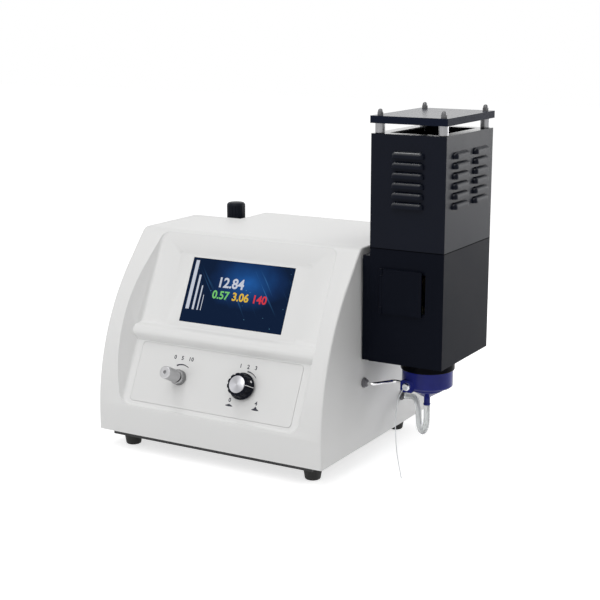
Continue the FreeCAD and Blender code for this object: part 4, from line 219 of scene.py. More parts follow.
def lathe(name, profile, where, around=64, ripple=None, crease=35):
    """A surface of revolution, in millimetres: each (radius, height) of the profile is swept round the axis, and the
    ripple, a function of angle, height and radius, is added to the radius. Ends on the axis are closed."""
    profile = np.asarray(profile, float)
    angle = np.arange(around) / around * 2 * math.pi
    radius, height = (np.repeat(profile[:, part:part + 1], around, axis=1) for part in (0, 1))
    if ripple is not None:
        radius = np.maximum(radius + ripple(angle[None, :], height, radius) * (radius > 1e-3), 0)
    points = np.stack((radius * np.cos(angle), radius * np.sin(angle), height), axis=-1)
    return make_mesh(name, put(points * MM, where), grid_faces(len(profile), around, wrap_columns=True), crease)


def arc_path(radius, start, end, steps=40):
    """Points of an arc about the origin, from one angle to another, in degrees."""
    angle = np.radians(np.linspace(start, end, steps))
    return np.column_stack((np.cos(angle), np.sin(angle))) * radius


def band(name, path, half_width, where, thickness, closed=False, taper=None):
    """A flat ribbon: a path of (x, y) points is moved half a width to each side along its normal, and lifted by a
    thickness. The taper scales the width along the path."""
    path = np.asarray(path, float)
    way = np.roll(path, -1, axis=0) - np.roll(path, 1, axis=0) if closed else np.gradient(path, axis=0)
    way /= np.linalg.norm(way, axis=1)[:, None]
    side = np.stack((-way[:, 1], way[:, 0]), axis=1) * half_width
    if taper is not None:
        side *= np.asarray(taper)[:, None]
    low, high = np.zeros(len(path)), np.full(len(path), thickness)
    rows = [np.column_stack((path + way * side, level))
            for way, level in ((1, low), (1, high), (-1, high), (-1, low))]
    return make_mesh(name, put(np.stack(rows), where), grid_faces(4, len(path), wrap_rows=True, wrap_columns=closed))


def plate(name, outline, where, thickness):
    """A flat piece of any outline with a small thickness: the outline's points below and above it."""
    count = len(outline)
    points = np.concatenate([np.column_stack((outline, np.full(count, level))) for level in (0, thickness)])
    faces = [list(range(count))[::-1], list(range(count, 2 * count))]
    return make_mesh(name, put(points, where), faces + grid_faces(2, count, wrap_columns=True))


def lettering(name, text, size, where, across, up, thickness, spacing=1.0):
    """Digits as a thin mesh: a text curve made a mesh, then carried to its place on a flat face. Their strokes are
    a little bolder than the font's."""
    curve = bpy.data.curves.new(name, "FONT")
    curve.body = text
    curve.size = size
    curve.extrude = thickness / 2
    curve.offset = size * 0.028
    curve.space_character = spacing
    curve.resolution_u = 4
    draft = as_object(name + "_draft", curve)
    bpy.context.view_layer.update()
    mesh = as_mesh(draft)
    bpy.data.objects.remove(draft)
    mesh.vertices.foreach_set("co", put(mesh_points(mesh) + (across, up, thickness / 2), where).ravel())
    mesh.update()
    return as_object(name, mesh)


def joined(name, things):
    """Several pieces as one mesh object."""
    mesh = bpy.data.meshes.new(name)
    gathered = bmesh.new()
    for thing in things:
        gathered.from_mesh(thing.data)
        bpy.data.objects.remove(thing)
    gathered.to_mesh(mesh)
    gathered.free()
    return as_object(name, mesh)


def refined(node, bevel, crease=32):
    """A node's loose triangles, merged into clean faces and shaded as the curves that they follow, with a small
    rounding along its sharp edges."""
    gathered = bmesh.new()
    gathered.from_mesh(frame["nodes"][node].data)
    bmesh.ops.remove_doubles(gathered, verts=gathered.verts, dist=2e-6)
    bmesh.ops.dissolve_limit(gathered, angle_limit=math.radians(0.4), verts=gathered.verts, edges=gathered.edges,
                             use_dissolve_boundaries=False)
    mesh = bpy.data.meshes.new(node + "_fine")
    gathered.to_mesh(mesh)
    gathered.free()
    mesh.shade_smooth()
    mesh.set_sharp_from_angle(angle=math.radians(crease))
    thing = as_object(mesh.name, mesh)
    if bevel:
        soft = thing.modifiers.new("edges", "BEVEL")
        soft.width = bevel
        soft.segments = 2
        soft.limit_method = "ANGLE"
        soft.angle_limit = math.radians(max(crease, 35))
        soft.harden_normals = True
        soft.use_clamp_overlap = True
    return thing


def dress(thing, body, slot, finish, *nodes):
    """Give a piece its finish and body, and let it stand for the nodes that it replaces."""
    thing.data.materials.clear()
    thing.data.materials.append(finish)
    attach(thing, body)
    if nodes:
        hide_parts(*nodes)
    return thing


def refit(node, slot, finish, bevel, body="case", crease=32):
    """Let a finer copy of a node, with rounded edges, stand for it."""
    return dress(refined(node, bevel, crease), body, slot, finish, node)


def coat(finish, *nodes):
    """Give CAD nodes a finish as they are."""
    for node in nodes:
        slots = frame["nodes"][node].material_slots
        for slot in slots:
            slot.material = finish
        if not slots:
            frame["nodes"][node].data.materials.append(finish)


def reach(node, origin, axis):
    """How far a node goes along an axis, from and to, and how far out from it."""
    points = mesh_points(frame["nodes"][node].data) - np.array(origin)
    along = points @ np.array(axis)
    return along.min(), along.max(), np.linalg.norm(points - along[:, None] * np.array(axis), axis=1).max()


# ---- shader parts


def feed(socket, value):
    """Link another node's output to a socket, or set the socket to a value."""
    if isinstance(value, bpy.types.NodeSocket):
        socket.id_data.links.new(value, socket)
    else:
        socket.default_value = value


def wire(node, **inputs):
    """Feed a node's inputs, whose names have underscores for spaces."""
    for name, value in inputs.items():
        feed(node.inputs[name.replace("_", " ")], value)
    return node


def add(tree, kind, **inputs):
    """A new shader node of some kind, with its inputs fed."""
    return wire(tree.nodes.new("ShaderNode" + kind), **inputs)


def operate(tree, kind, operation, inputs):
    """A math node of some kind, with its inputs fed in their order."""
    node = add(tree, kind)
    node.operation = operation
    for socket, value in zip(node.inputs, inputs):
        feed(socket, value)
    return node.outputs


def number(tree, operation, *inputs):
    """The result of a sum over numbers and other nodes' outputs."""
    return operate(tree, "Math", operation, inputs)["Value"]


def vector(tree, operation, *inputs):
    """The same over vectors. A length or a dot product comes out as a number."""
    return operate(tree, "VectorMath", operation, inputs)[
        "Value" if operation in ("LENGTH", "DOT_PRODUCT") else "Vector"]


def split(tree, place):
    """A vector's X, Y and Z."""
    return add(tree, "SeparateXYZ", Vector=place).outputs


def flat(tree, across, up):
    """A vector of two numbers, with nought for its Z."""
    return add(tree, "CombineXYZ", X=across, Y=up).outputs[0]


def mapped(tree, place, kind="POINT", **values):
    """A place that is moved, turned or stretched."""
    node = add(tree, "Mapping")
    node.vector_type = kind
    return wire(node, Vector=place, **values).outputs["Vector"]


def between(tree, value, low, high, at_low, at_high):
    """A value carried from one range to another, and held at the ends."""
    return add(tree, "MapRange", Value=value, From_Min=low, From_Max=high, To_Min=at_low, To_Max=at_high).outputs[0]


def noise_of(tree, place, scale, detail):
    """A noise over a place, from nought to one."""
    return add(tree, "TexNoise", Vector=place, Scale=scale, Detail=detail).outputs["Fac"]


def bump(tree, height, painted_light_share, distance):
    """The normal of a surface that a height roughens."""
    return add(tree, "Bump", Height=height, Strength=painted_light_share, Distance=distance).outputs["Normal"]


def mixed(tree, share, first, second):
    """A colour between two others."""
    node = add(tree, "Mix")
    node.data_type = "RGBA"
    for index, value in ((0, share), (6, first), (7, second)):
        feed(node.inputs[index], value)
    return node.outputs[2]


def ramp(tree, share, *stops):
    """A colour between stops, each of which is a share and the colour there."""
    node = add(tree, "ValToRGB", Fac=share)
    elements = node.color_ramp.elements
    for spot, _ in stops[1:-1]:
        elements.new(spot)
    for element, (spot, colour) in zip(elements, stops):
        element.position = spot
        element.color = (*colour, 1)
    return node.outputs["Color"]


def times(colour, share):
    """A colour made darker or lighter."""
    return tuple(min(channel * share, 1) for channel in colour)


def two_tone(tree, place, colour, scale, detail, dark, light=1.0):
    """A noise, and a colour that goes with it from dark to light."""
    noise = noise_of(tree, place, scale, detail)
    return noise, ramp(tree, noise, (0, times(colour, dark)), (1, times(colour, light)))


def on_panel(tree, place, origin):
    """How far a place is across and uphill from an origin on the sloped panel, and both as a flat vector."""
    shift = vector(tree, "SUBTRACT", place, origin)
    across, up = (vector(tree, "DOT_PRODUCT", shift, way) for way in (RIGHT, UPHILL))
    return across, up, flat(tree, across, up)


def open_group(name, inputs, outputs):
    """A new node group, with its entry's outputs and its exit's inputs."""
    group = bpy.data.node_groups.new(name, "ShaderNodeTree")
    for way, sockets in (("INPUT", inputs), ("OUTPUT", outputs)):
        for label, kind in sockets.items():
            group.interface.new_socket(name=label, in_out=way, socket_type="NodeSocket" + kind)
    return group, group.nodes.new("NodeGroupInput").outputs, group.nodes.new("NodeGroupOutput").inputs


def grain_group(name):
    """Colour, roughness and normal of a moulded or sprayed surface: a slow mottle shifts the colour and the
    roughness, and a fine noise gives the normal its grain."""
    inputs = {"Place": "Vector", "Colour": "Color", "Mottle colour": "Color", "Mottle size": "Float",
              "Mottle share": "Float", "Roughness": "Float", "Roughness spread": "Float", "Grain size": "Float",
              "Grain depth": "Float"}
    group, start, end = open_group(name, inputs, {"Colour": "Color", "Roughness": "Float", "Normal": "Vector"})
    mottle = noise_of(group, start["Place"], start["Mottle size"], 4.0)
    share = number(group, "MULTIPLY", mottle, start["Mottle share"])
    feed(end["Colour"], mixed(group, share, start["Colour"], start["Mottle colour"]))
    feed(end["Roughness"], number(group, "MULTIPLY_ADD", mottle, start["Roughness spread"], start["Roughness"]))
    grain = noise_of(group, start["Place"], start["Grain size"], 3.0)
    feed(end["Normal"], bump(group, grain, start["Grain depth"], 0.0002))
    return group


def rings_group(name):
    """Roughness and normal of turned metal: fine tool rings round an axis and across a face, as a sine of the
    distance from the axis added to a sine of the height along it, broken up by a slow noise."""
    group, start, end = open_group(
        name, {"Place": "Vector", "Spacing": "Float", "Depth": "Float", "Roughness": "Float"},
        {"Roughness": "Float", "Normal": "Vector"})
    parts = split(group, start["Place"])
    radius = vector(group, "LENGTH", flat(group, parts["X"], parts["Y"]))
    waves = [number(group, "SINE", number(group, "MULTIPLY", run, start["Spacing"])) for run in (radius, parts["Z"])]
    noise = noise_of(group, start["Place"], 400.0, 3.0)
    height = number(group, "MULTIPLY", number(group, "ADD", *waves), noise)
    feed(end["Normal"], bump(group, height, start["Depth"], 0.00005))
    feed(end["Roughness"], number(group, "MULTIPLY_ADD", noise, 0.12, start["Roughness"]))
    return group


def lamp_facing_gloss_group(name):
    """A painted highlight: a coat's weight where the surface looks up, as on a ledge, most where it also looks ahead to
    the left, towards the top lamps, so that their highlight shows there, and none where it stands upright."""
    group, start, end = open_group(name, {"Facing": "Vector", "Weight": "Float"}, {"Coat": "Float"})
    towards_top_lamps = vector(group, "DOT_PRODUCT", start["Facing"], (-0.25, -0.40, 0.88))
    feed(end["Coat"], between(group, towards_top_lamps, 0.52, 0.86, 0.0, start["Weight"]))
    return group


GROUPS = {"Surface grain": grain_group, "Tool rings": rings_group, "Lamp-facing gloss": lamp_facing_gloss_group}


def shared(tree, name, **inputs):
    """The outputs of a shared effect, whose group is made when it is first asked for."""
    node = add(tree, "Group")
    node.node_tree = bpy.data.node_groups.get(name) or GROUPS[name](name)
    return wire(node, **inputs).outputs


# ---- finishes


def material_of(wired):
    """Let a function that wires a shader make a whole material of a name. It is given the tree, the shader and the
    place on the object, and then what the material was asked for with."""

    def make(name, *values, **named):
        material = bpy.data.materials.new(name)
        material.use_nodes = True
        tree = material.node_tree
        place = add(tree, "TexCoord").outputs["Object"]
        wired(tree, tree.nodes["Principled BSDF"], place, *values, **named)
        return material

    return make


@material_of
def coated(tree, shader, place, colour, second=None, share=0.25, mottle=25.0, rough=0.45, spread=0.08, grain=1500.0,
           depth=0.12, metal=0.0, specular=0.5, lamp_facing_gloss=0.0):
    """A moulded, painted or rubber finish, with the grain and mottle that it has close to. Its faces that turn towards
    the top lamps may be glossed to a weight, a painted highlight."""
    second = second or times(colour, 0.86)
    surface = shared(
        tree, "Surface grain", Place=place, Colour=(*colour, 1), Mottle_colour=(*second, 1), Mottle_size=mottle,
        Mottle_share=share, Roughness=rough, Roughness_spread=spread, Grain_size=grain, Grain_depth=depth)
    wire(shader, Base_Color=surface["Colour"], Roughness=surface["Roughness"], Normal=surface["Normal"],
         Metallic=metal, Specular_IOR_Level=specular)
    # Painted highlight: a coat only on faces turned up, ahead and to the left, towards the top lamps.
    if lamp_facing_gloss:
        facing = add(tree, "TexCoord").outputs["Normal"]
        gloss = shared(tree, "Lamp-facing gloss", Facing=facing, Weight=lamp_facing_gloss)
        wire(shader, Coat_Weight=gloss["Coat"], Coat_Roughness=0.2)


@material_of
def turned(tree, shader, place, colour, origin, axis, rough=0.22):
    """Bare metal off a lathe, with rings about its own axis."""
    turn = Matrix(frame_of(origin, axis)[1:])
    own = mapped(tree, place, Rotation=turn.to_euler(), Location=-(turn @ Vector(origin)))
    rings = shared(tree, "Tool rings", Place=own, Spacing=9000.0, Depth=0.12, Roughness=rough)
    _, shades = two_tone(tree, place, colour, 60.0, 4.0, 0.86)
    wire(shader, Base_Color=shades, Roughness=rings["Roughness"], Normal=rings["Normal"], Metallic=1.0)


@material_of
def brushed(tree, shader, place, colour, along, rough=0.3, depth=0.1):
    """Sheet metal with a brushed grain: noise that is stretched along the direction of brushing."""
    stretched = mapped(tree, place, Scale=[6 if part else 700 for part in along])
    noise, shades = two_tone(tree, stretched, colour, 3.0, 5.0, 0.82)
    wire(shader, Base_Color=shades, Roughness=number(tree, "MULTIPLY_ADD", noise, 0.15, rough),
         Normal=bump(tree, noise, depth, 0.0001), Metallic=1.0)


@material_of
def spun(tree, shader, place, colour, origin):
    """A spun aluminium disc: fine rings, and a painted sheen, its colour lighter and darker with the angle round its
    centre.
    """
    across, up, level = on_panel(tree, place, origin)
    # Painted sheen: the colour swings twice between dark and light round the disc's centre.
    doubled = number(tree, "MULTIPLY_ADD", number(tree, "ARCTAN2", up, across), 2.0, 0.6)
    painted_sheen = between(tree, number(tree, "SINE", doubled), -1.0, 1.0, 0.0, 1.0)
    rings = shared(tree, "Tool rings", Place=level, Spacing=16000.0, Depth=0.15, Roughness=0.28)
    wire(shader, Base_Color=ramp(tree, painted_sheen, (0, times(colour, 0.68)), (1, colour)), Roughness=rings["Roughness"],
         Normal=rings["Normal"], Metallic=0.9)


@material_of
def heated_steel(tree, shader, place, low, high):
    """Steel round a flame: bright at its foot, straw and then blue-grey towards its top."""
    noise = noise_of(tree, place, 40.0, 5.0)
    level = between(tree, split(tree, place)["Z"], low, high, -0.2, 0.85)
    tint = ramp(tree, number(tree, "MULTIPLY_ADD", noise, 0.3, level), (0.0, (0.62, 0.62, 0.60)),
                (0.45, (0.60, 0.50, 0.30)), (0.65, (0.36, 0.22, 0.20)), (0.8, (0.18, 0.20, 0.32)),
                (1.0, (0.22, 0.22, 0.23)))
    wire(shader, Base_Color=tint, Roughness=number(tree, "MULTIPLY_ADD", noise, 0.2, 0.28), Metallic=1.0)


@material_of
def lit_screen(tree, shader, place, origin, width, height, glow):
    """A display that is on: a navy field with a soft blue glow off its middle, faint slanted rays and a few sparks,
    behind polished glass."""
    _, _, level = on_panel(tree, place, origin)
    centre = vector(tree, "SUBTRACT", level, (width * 0.08, height * 0.20, 0))
    away = vector(tree, "LENGTH", vector(tree, "MULTIPLY", centre, (1.9 / width, 1.7 / height, 0)))
    field = ramp(tree, number(tree, "MULTIPLY_ADD", noise_of(tree, level, 28.0, 5.0), 0.45, away),
                 (0.15, (0.016, 0.115, 0.40)), (0.45, (0.010, 0.060, 0.21)), (0.8, (0.006, 0.024, 0.085)),
                 (1.0, (0.004, 0.013, 0.040)))
    slanted = mapped(tree, level, "TEXTURE", Rotation=(0, 0, math.radians(-52)), Scale=(1 / 9, 1 / 210, 1.0))
    rays = between(tree, noise_of(tree, slanted, 1.0, 2.0), 0.62, 0.80, 0.0, 1.0)
    streaks = number(tree, "MULTIPLY", rays, between(tree, away, 0.2, 1.0, 0.75, 0.0))
    rayed = mixed(tree, streaks, field, (0.10, 0.38, 0.80, 1))
    stars = add(tree, "TexVoronoi", Vector=level, Scale=150.0).outputs
    lone = add(tree, "SeparateColor", Color=stars["Color"]).outputs[0]
    sparks = number(tree, "MULTIPLY", between(tree, stars["Distance"], 0.0, 0.09, 1.0, 0.0),
                    number(tree, "GREATER_THAN", lone, 0.86))
    wire(shader, Emission_Color=mixed(tree, sparks, rayed, (0.25, 0.65, 0.95, 1)), Emission_Strength=glow,
         Base_Color=(0.001, 0.001, 0.002, 1), Roughness=0.12, Specular_IOR_Level=0.015)


@material_of
def shining(tree, shader, place, colour):
    """A lit element of the display."""
    _, shades = two_tone(tree, place, colour, 900.0, 2.0, 0.8)
    wire(shader, Emission_Color=shades, Emission_Strength=0.9, Base_Color=(0.01, 0.01, 0.012, 1), Roughness=0.15,
         Specular_IOR_Level=0.015)


@material_of
def see_through(tree, shader, place, colour, rough, through):
    """Clear or tinted plastic, glossy, with slight waves in its wall."""
    noise, shades = two_tone(tree, place, colour, 60.0, 3.0, 0.8)
    wire(shader, Base_Color=shades, Normal=bump(tree, noise, 0.05, 0.0004), Roughness=rough, IOR=1.42,
         Transmission_Weight=through)


@material_of
def chamber_plastic(tree, shader, place, colour, through, specular):
    """Deep moulded plastic that may let a little light through."""
    _, shades = two_tone(tree, place, colour, 45.0, 3.0, 0.7, 1.25)
    wire(shader, Base_Color=shades, Roughness=0.16, Transmission_Weight=through, IOR=1.49,
         Specular_IOR_Level=specular)


# ---- shapes of the controls


def knurl(depth, lines, lead, low, high, soften):
    """A ripple for lathe: shallow grooves along two crossed helices, as the sizes of two sines, of the angle plus
    and minus the height, faded out towards both ends."""

    def ripple(angle, height, radius):
        fade = np.clip((height - low) / soften, 0, 1) * np.clip((high - height) / soften, 0, 1)
        wave = sum(np.abs(np.sin(lines * angle + turn * height * lead)) for turn in (1, -1))
        return -depth * (wave - 0.9) * fade

    return ripple


def turned_size(node, spot):
    """A turned piece's foot, head and radius, in millimetres along and from its axis."""
    return (part / MM for part in reach(node, spot, OUT))


def printed_marks(looks):
    """The control plate's print: numbers, an arc that narrows over each valve, and two flames whose outline is a
    parabola with a bell-shaped peak over half an ellipse."""
    low, high = box_of("control_plate")
    level = (low + high) / 2
    level = level + OUT * reach("control_plate", level, OUT)[1]
    fine, gas = ((spot + OUT * ((level - spot) @ OUT), RIGHT, UPHILL, OUT)
                 for spot in (spot_of("fine_knob_turn"), spot_of("gas_turn")))
    thick = looks.print_thickness
    marks = []
    for name, where, radius, first, last, wide in (
            ("fine_arc", fine, 17.6, 120, 56, 2.2), ("gas_arc", gas, 20.2, 88, 42, 1.7)):
        path = arc_path(radius * MM, first, last)
        marks.append(band(name, path, wide / 2 * MM, where, thick, taper=np.linspace(1, 0.38, len(path))))
    for name, where, text, across, up in (
            ("fine_scale", fine, "0   5   10", -15.5, 23.8), ("gas_scale", gas, "1   2   3", -12.5, 23.8),
            ("gas_shut", gas, "0", -17.2, -21.4), ("gas_open", gas, "4", 21.6, -20.4)):
        marks.append(lettering(name, text, 7.2 * MM, where, across * MM, up * MM, thick, spacing=1.12))
    share = np.linspace(-1, 1, 41)
    for name, across, half, rise, peak in (("low_flame", -15, 5.6, 1.7, 0.6), ("high_flame", 23.8, 5.4, 1.9, 2.6)):
        crown = rise * (1 - share**2) + peak * np.exp(-((share / 0.3) ** 2))
        sill = -0.9 * (1 - share**2) ** 0.5
        outline = np.vstack((np.column_stack((share * half, crown)), np.column_stack((share * half, sill))[-2:0:-1]))
        marks.append(plate(name, (outline + (across, -26.4)) * MM, gas, thick))
    ink = coated("Print ink", looks.ink_colour, rough=0.45, grain=3000.0, depth=0.05)
    dress(joined("plate_marks", marks), "case", "control_sheet", ink)


def fine_valve(steel, depth):
    """The needle valve's knurled knob, with a socket in its end, and its knurled nut."""
    spot = spot_of("fine_knob_turn")
    where = frame_of(spot, OUT, UPHILL)
    start, end, radius = turned_size("fine_knob", spot)
    hole = radius * 0.27
    barrel = np.column_stack((np.full(60, radius), np.linspace(start + 0.8, end - 1.2, 60)))
    nose = rounded(((radius, end - 1.2), (radius - 1.2, end), (hole + 0.3, end), (hole, end - 0.3), (hole, end - 2.5),
                    (0, end - 2.5)), 0.3)
    base = rounded(((0, start), (radius - 0.8, start), (radius, start + 0.8)), 0.3)
    knob = lathe("fine_knob_grip", np.vstack((base, barrel, nose[1:])), where, 150,
                 knurl(depth * 0.5, 15, 2.6, start + 2.5, end - 3, 0.6), crease=50)
    dress(knob, "fine_knob", "fine_knob_metal", steel, "fine_knob")
    # Painted shade: a grey disc on the floor of the knob's socket, darker than the knob, for the shade in the hole.
    floor = rounded(((0, end - 2.6), (hole - 0.1, end - 2.6), (hole - 0.1, end - 1.8), (0, end - 1.8)), 0.1)
    socket_painted_shade = coated("Socket shade", (0.30, 0.30, 0.31), rough=0.6, specular=0.1)
    dress(lathe("fine_knob_socket", floor, where, 48), "fine_knob", "fine_knob_metal", socket_painted_shade)

    start, end, radius = turned_size("fine_valve_nut", spot)
    barrel = np.column_stack((np.full(40, radius), np.linspace(start + 0.5, end - 2, 40)))
    shoulder = rounded(((radius, end - 2), (radius - 1.6, end), (radius * 0.62, end), (radius * 0.6, end - 1.2),
                        (0, end - 1.2)), 0.4)
    nut = lathe("fine_nut_grip", np.vstack((((0, start), (radius, start)), barrel, shoulder[1:])), where, 176,
                knurl(depth * 1.2, 22, 1.5, start + 1, end - 2.6, 0.4), crease=50)
    nickel = turned("Nut nickel", (0.33, 0.33, 0.335), spot, OUT, rough=0.26)
    dress(nut, "case", "valve_metal", nickel, "fine_valve_nut")
    coat(steel, "fine_valve_body", "fine_needle")


def gas_valve(steel):
    """The gas cock's fluted knob with its silver disc and white marks, and the cock behind it."""
    spot = spot_of("gas_turn")
    where = frame_of(spot, OUT)
    start, end, radius = turned_size("gas_knob", spot)
    _, _, disc = turned_size("gas_knob_disc", spot)
    face = disc + 3.6

    def lobes(angle, height, radius):
        """Twelve hollows round the knob's side above its skirt, as a power of a cosine of twelve angles."""
        hollow = np.clip(np.cos(12 * angle) + 0.1, 0, 1) ** 0.8
        return -1.2 * hollow * np.clip(height - start - 3, 0, 1) * (radius > disc + 1.2)

    skirt = rounded(((0, start), (radius, start), (radius, start + 2.2), (radius - 1.3, start + 3)), 0.5)
    foot, brow = np.array((radius - 1.3, start + 3.2)), np.array((face + 0.4, end - 1.8))
    rim = rounded(((face + 0.2, end - 1.4), (face - 0.8, end), (disc + 0.6, end), (disc + 0.4, end - 0.4),
                   (disc + 0.3, end - 0.8), (0, end - 0.8)), 0.3)
    knob = lathe("gas_knob_body", np.vstack((skirt, np.linspace(foot, brow, 24), rim)), where, 192, lobes, crease=50)
    black = coated("Knob black", (0.003, 0.0040, 0.009), (0.005, 0.006, 0.012), share=0.3, mottle=90.0, rough=0.30,
                   grain=2200.0, depth=0.1, specular=0.08)
    dress(knob, "gas_knob", "gas_knob_black", black, "gas_knob")
    refit("gas_knob_disc", "gas_knob_silver", spun("Disc silver", (0.60, 0.60, 0.63), spot), FINE_ROUND, "gas_knob")
    coat(steel, "gas_spindle", "gas_plug")
    coat(turned("Cock brass", (0.70, 0.52, 0.24), spot, OUT), "gas_valve_body")
    marks = joined("gas_knob_marks", [pointer_line(where, start, end, radius, face, disc), side_dot(where, foot, brow)])
    dress(marks, "gas_knob", "gas_knob_black", coated("Knob mark", (0.85, 0.85, 0.85), rough=0.5))


def ways_at(turn):
    """The ways outwards and onwards at an angle in degrees, in a turned piece's own directions."""
    turn = math.radians(turn)
    return np.array((math.cos(turn), math.sin(turn), 0)), np.array((-math.sin(turn), math.cos(turn), 0))


def pointer_line(where, start, end, radius, face, disc, lift=0.12, half=0.38):
    """A thin white strip that follows the knob's profile at one angle, from its disc over the face and down the
    side, a lift above it and half a width to each side of it."""
    profile = np.array((
        (disc + 0.6, end + lift), (face - 1.0, end + lift), (face + 0.2 + lift, end - 1.2),
        (radius - 1.4 + lift, start + 3.3), (radius + lift, start + 2.4), (radius + lift, start + 0.6)))
    way, aside = ways_at(1)
    rows = [profile[:, :1] * way + profile[:, 1:] * UP + shift * aside for shift in (-half, half)]
    line = make_mesh("pointer_line", put(np.stack(rows) * MM, where), grid_faces(2, len(profile)), closed=False)
    wall = line.modifiers.new("wall", "SOLIDIFY")
    wall.thickness = 0.2 * MM
    wall.offset = 0
    solid = as_mesh(line)
    line.modifiers.clear()
    line.data = solid
    return line


def side_dot(where, foot, brow):
    """An oval dot on the knob's side, a little above the side's foot and some way round from the line."""
    way, aside = ways_at(26)
    run, rise = (brow - foot) / np.linalg.norm(brow - foot)
    out, level = foot + (brow - foot) * 0.22
    slope = -(way * run + UP * rise)
    ways = (put(part, (0, *where[1:])) for part in (aside, slope, np.cross(aside, slope)))
    oval = arc_path(1, 0, 345, 24) * (1.5 * MM, 1.8 * MM)
    return plate("knob_dot", oval, (put((way * out + UP * level) * MM, where), *ways), 0.4 * MM)


# ---- shapes of the rest


def seam_shadow_strip(name):
    """A painted shadow for the shaded gap between housing and hood: a ring of four flat strips, each corner of whose
    section is the chimney's outline moved out by a hair or in by a little, at the joint's height plus or minus half a
    strip."""
    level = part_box("chimney_hood")[0][2]
    outline = np.array(((-1, -1), (1, -1), (1, 1), (-1, 1)))
    centre, half = case_place(398.3, 178, 0)[:2], np.array((50.0, 72.0))
    rows = [np.column_stack((centre + outline * (half + proud) * MM, np.full(4, level + lift * MM)))
            for proud, lift in ((0.06, -0.5), (0.06, 0.5), (-0.6, 0.5), (-0.6, -0.5))]
    return make_mesh(name, np.stack(rows), grid_faces(4, 4, wrap_rows=True, wrap_columns=True))


# The soft tubes' points, in millimetres from the case's left side, its front and the bench.
HOSE_ROUTE = (
    (397.2, 178, 70.9), (397.2, 178, 61), (396.6, 179.5, 47), (392.5, 183.5, 34.5), (385.5, 189.5, 28.6),
    (379, 195, 34.5), (376, 199, 46), (374, 202.5, 58), (368, 208, 66.5), (359, 215.5, 67), (350.19, 222, 64),
    (345.19, 222, 64))
CAPILLARY_ROUTE = (
    (383.4, 140, 101.8), (383.3, 134.5, 101.2), (381.6, 129.8, 95.4), (379.8, 126, 86.3), (380.4, 120.8, 73),
    (383.4, 113.4, 58), (388.6, 104.6, 43), (395, 95.4, 29), (402, 87.4, 15.5), (408.6, 81, 3))


def soft_tube(name, route, radius, node, finish, slot):
    """A free tube along one smooth spline through its control points. Its length is worked out but not kept."""
    places = np.array([case_place(*point) for point in route])
    curve = bpy.data.curves.new(name, "CURVE")
    curve.dimensions = "3D"
    spline = curve.splines.new("NURBS")
    spline.points.add(len(places) - 1)
    spline.points.foreach_set("co", np.column_stack((places, np.ones(len(places)))).ravel())
    spline.points.foreach_set("radius", np.full(len(places), radius))
    spline.order_u = 3
    spline.use_endpoint_u = True
    spline.resolution_u = 12
    curve.bevel_resolution = 6
    thing = as_object(name, curve)
    bpy.context.view_layer.update()
    line = as_mesh(thing)
    length = float(np.linalg.norm(np.diff(mesh_points(line), axis=0), axis=1).sum())
    bpy.data.meshes.remove(line)
    curve.bevel_depth = 1.0
    curve.use_fill_caps = True
    dress(thing, "case", slot, finish, node)


def gauge_dial():
    """The gauge's printed dial: a pale ring on the floor of its case, with twenty-one ticks over 270 degrees and
    even numbers from 0 to 10 inside them."""
    spot = spot_of("gauge_turn")
    sheet, print_lift = 0.12 * MM, 0.06 * MM
    where = (spot, -RIGHT, UP, np.array((0.0, 1.0, 0.0)))
    face = band("gauge_dial", arc_path(7.4 * MM, 0, 354, 60), 5.9 * MM, where, sheet, closed=True)
    dress(face, "case", "gauge_black", coated("Dial white", (0.74, 0.74, 0.72), rough=0.35, grain=3000.0, depth=0.03))
    raised = (spot + where[3] * sheet, *where[1:])
    marks = []
    for count in range(21):
        way = ways_at(225 - 13.5 * count)[0][:2]
        path = np.outer((11.6 if count % 2 else 10.6, 12.6), way) * MM
        marks.append(band(f"dial_tick_{count}", path, 0.16 * MM, raised, print_lift))
        if count % 4 == 0:
            text, size = str(count // 2), 2.6 * MM
            corner = way * 8.4 * MM - np.array((0.29 * len(text), 0.35)) * size
            marks.append(lettering(f"dial_number_{count}", text, size, raised, *corner, print_lift))
    ink = coated("Dial ink", (0.012, 0.012, 0.014), rough=0.4, grain=3000.0, depth=0.03)
    dress(joined("gauge_marks", marks), "case", "gauge_black", ink)


# ---- operators


class PHOTOMETER_OT_case(bpy.types.Operator):
    """Moulded case, base tray, feet and screws"""

    bl_idname = "photometer.case"
    bl_label = "Case"

    def execute(self, context):
        looks = context.scene.photometer
        shell = coated("Case plastic", looks.shell_colour, share=0.05, mottle=9.0, rough=0.42, spread=0.06,
                       grain=2600.0, depth=0.05)
        refit("case_shell", "shell", shell, 1.2 * MM, crease=28)
        tray = coated("Tray coat", (0.012, 0.012, 0.013), rough=0.5, grain=1800.0, depth=0.25)
        refit("base_plate", "tray", tray, looks.edge_round)
        rubber = coated("Foot rubber", (0.012, 0.012, 0.012), (0.03, 0.03, 0.028), share=0.5, mottle=120.0, rough=0.7,
                        grain=900.0, depth=0.3)
        refit("rubber_feet", "foot", rubber, 0.8 * MM)
        coat(brushed("Screw zinc", (0.72, 0.73, 0.74), (0, 1, 0), rough=0.25), "case_screws")
        return {"FINISHED"}


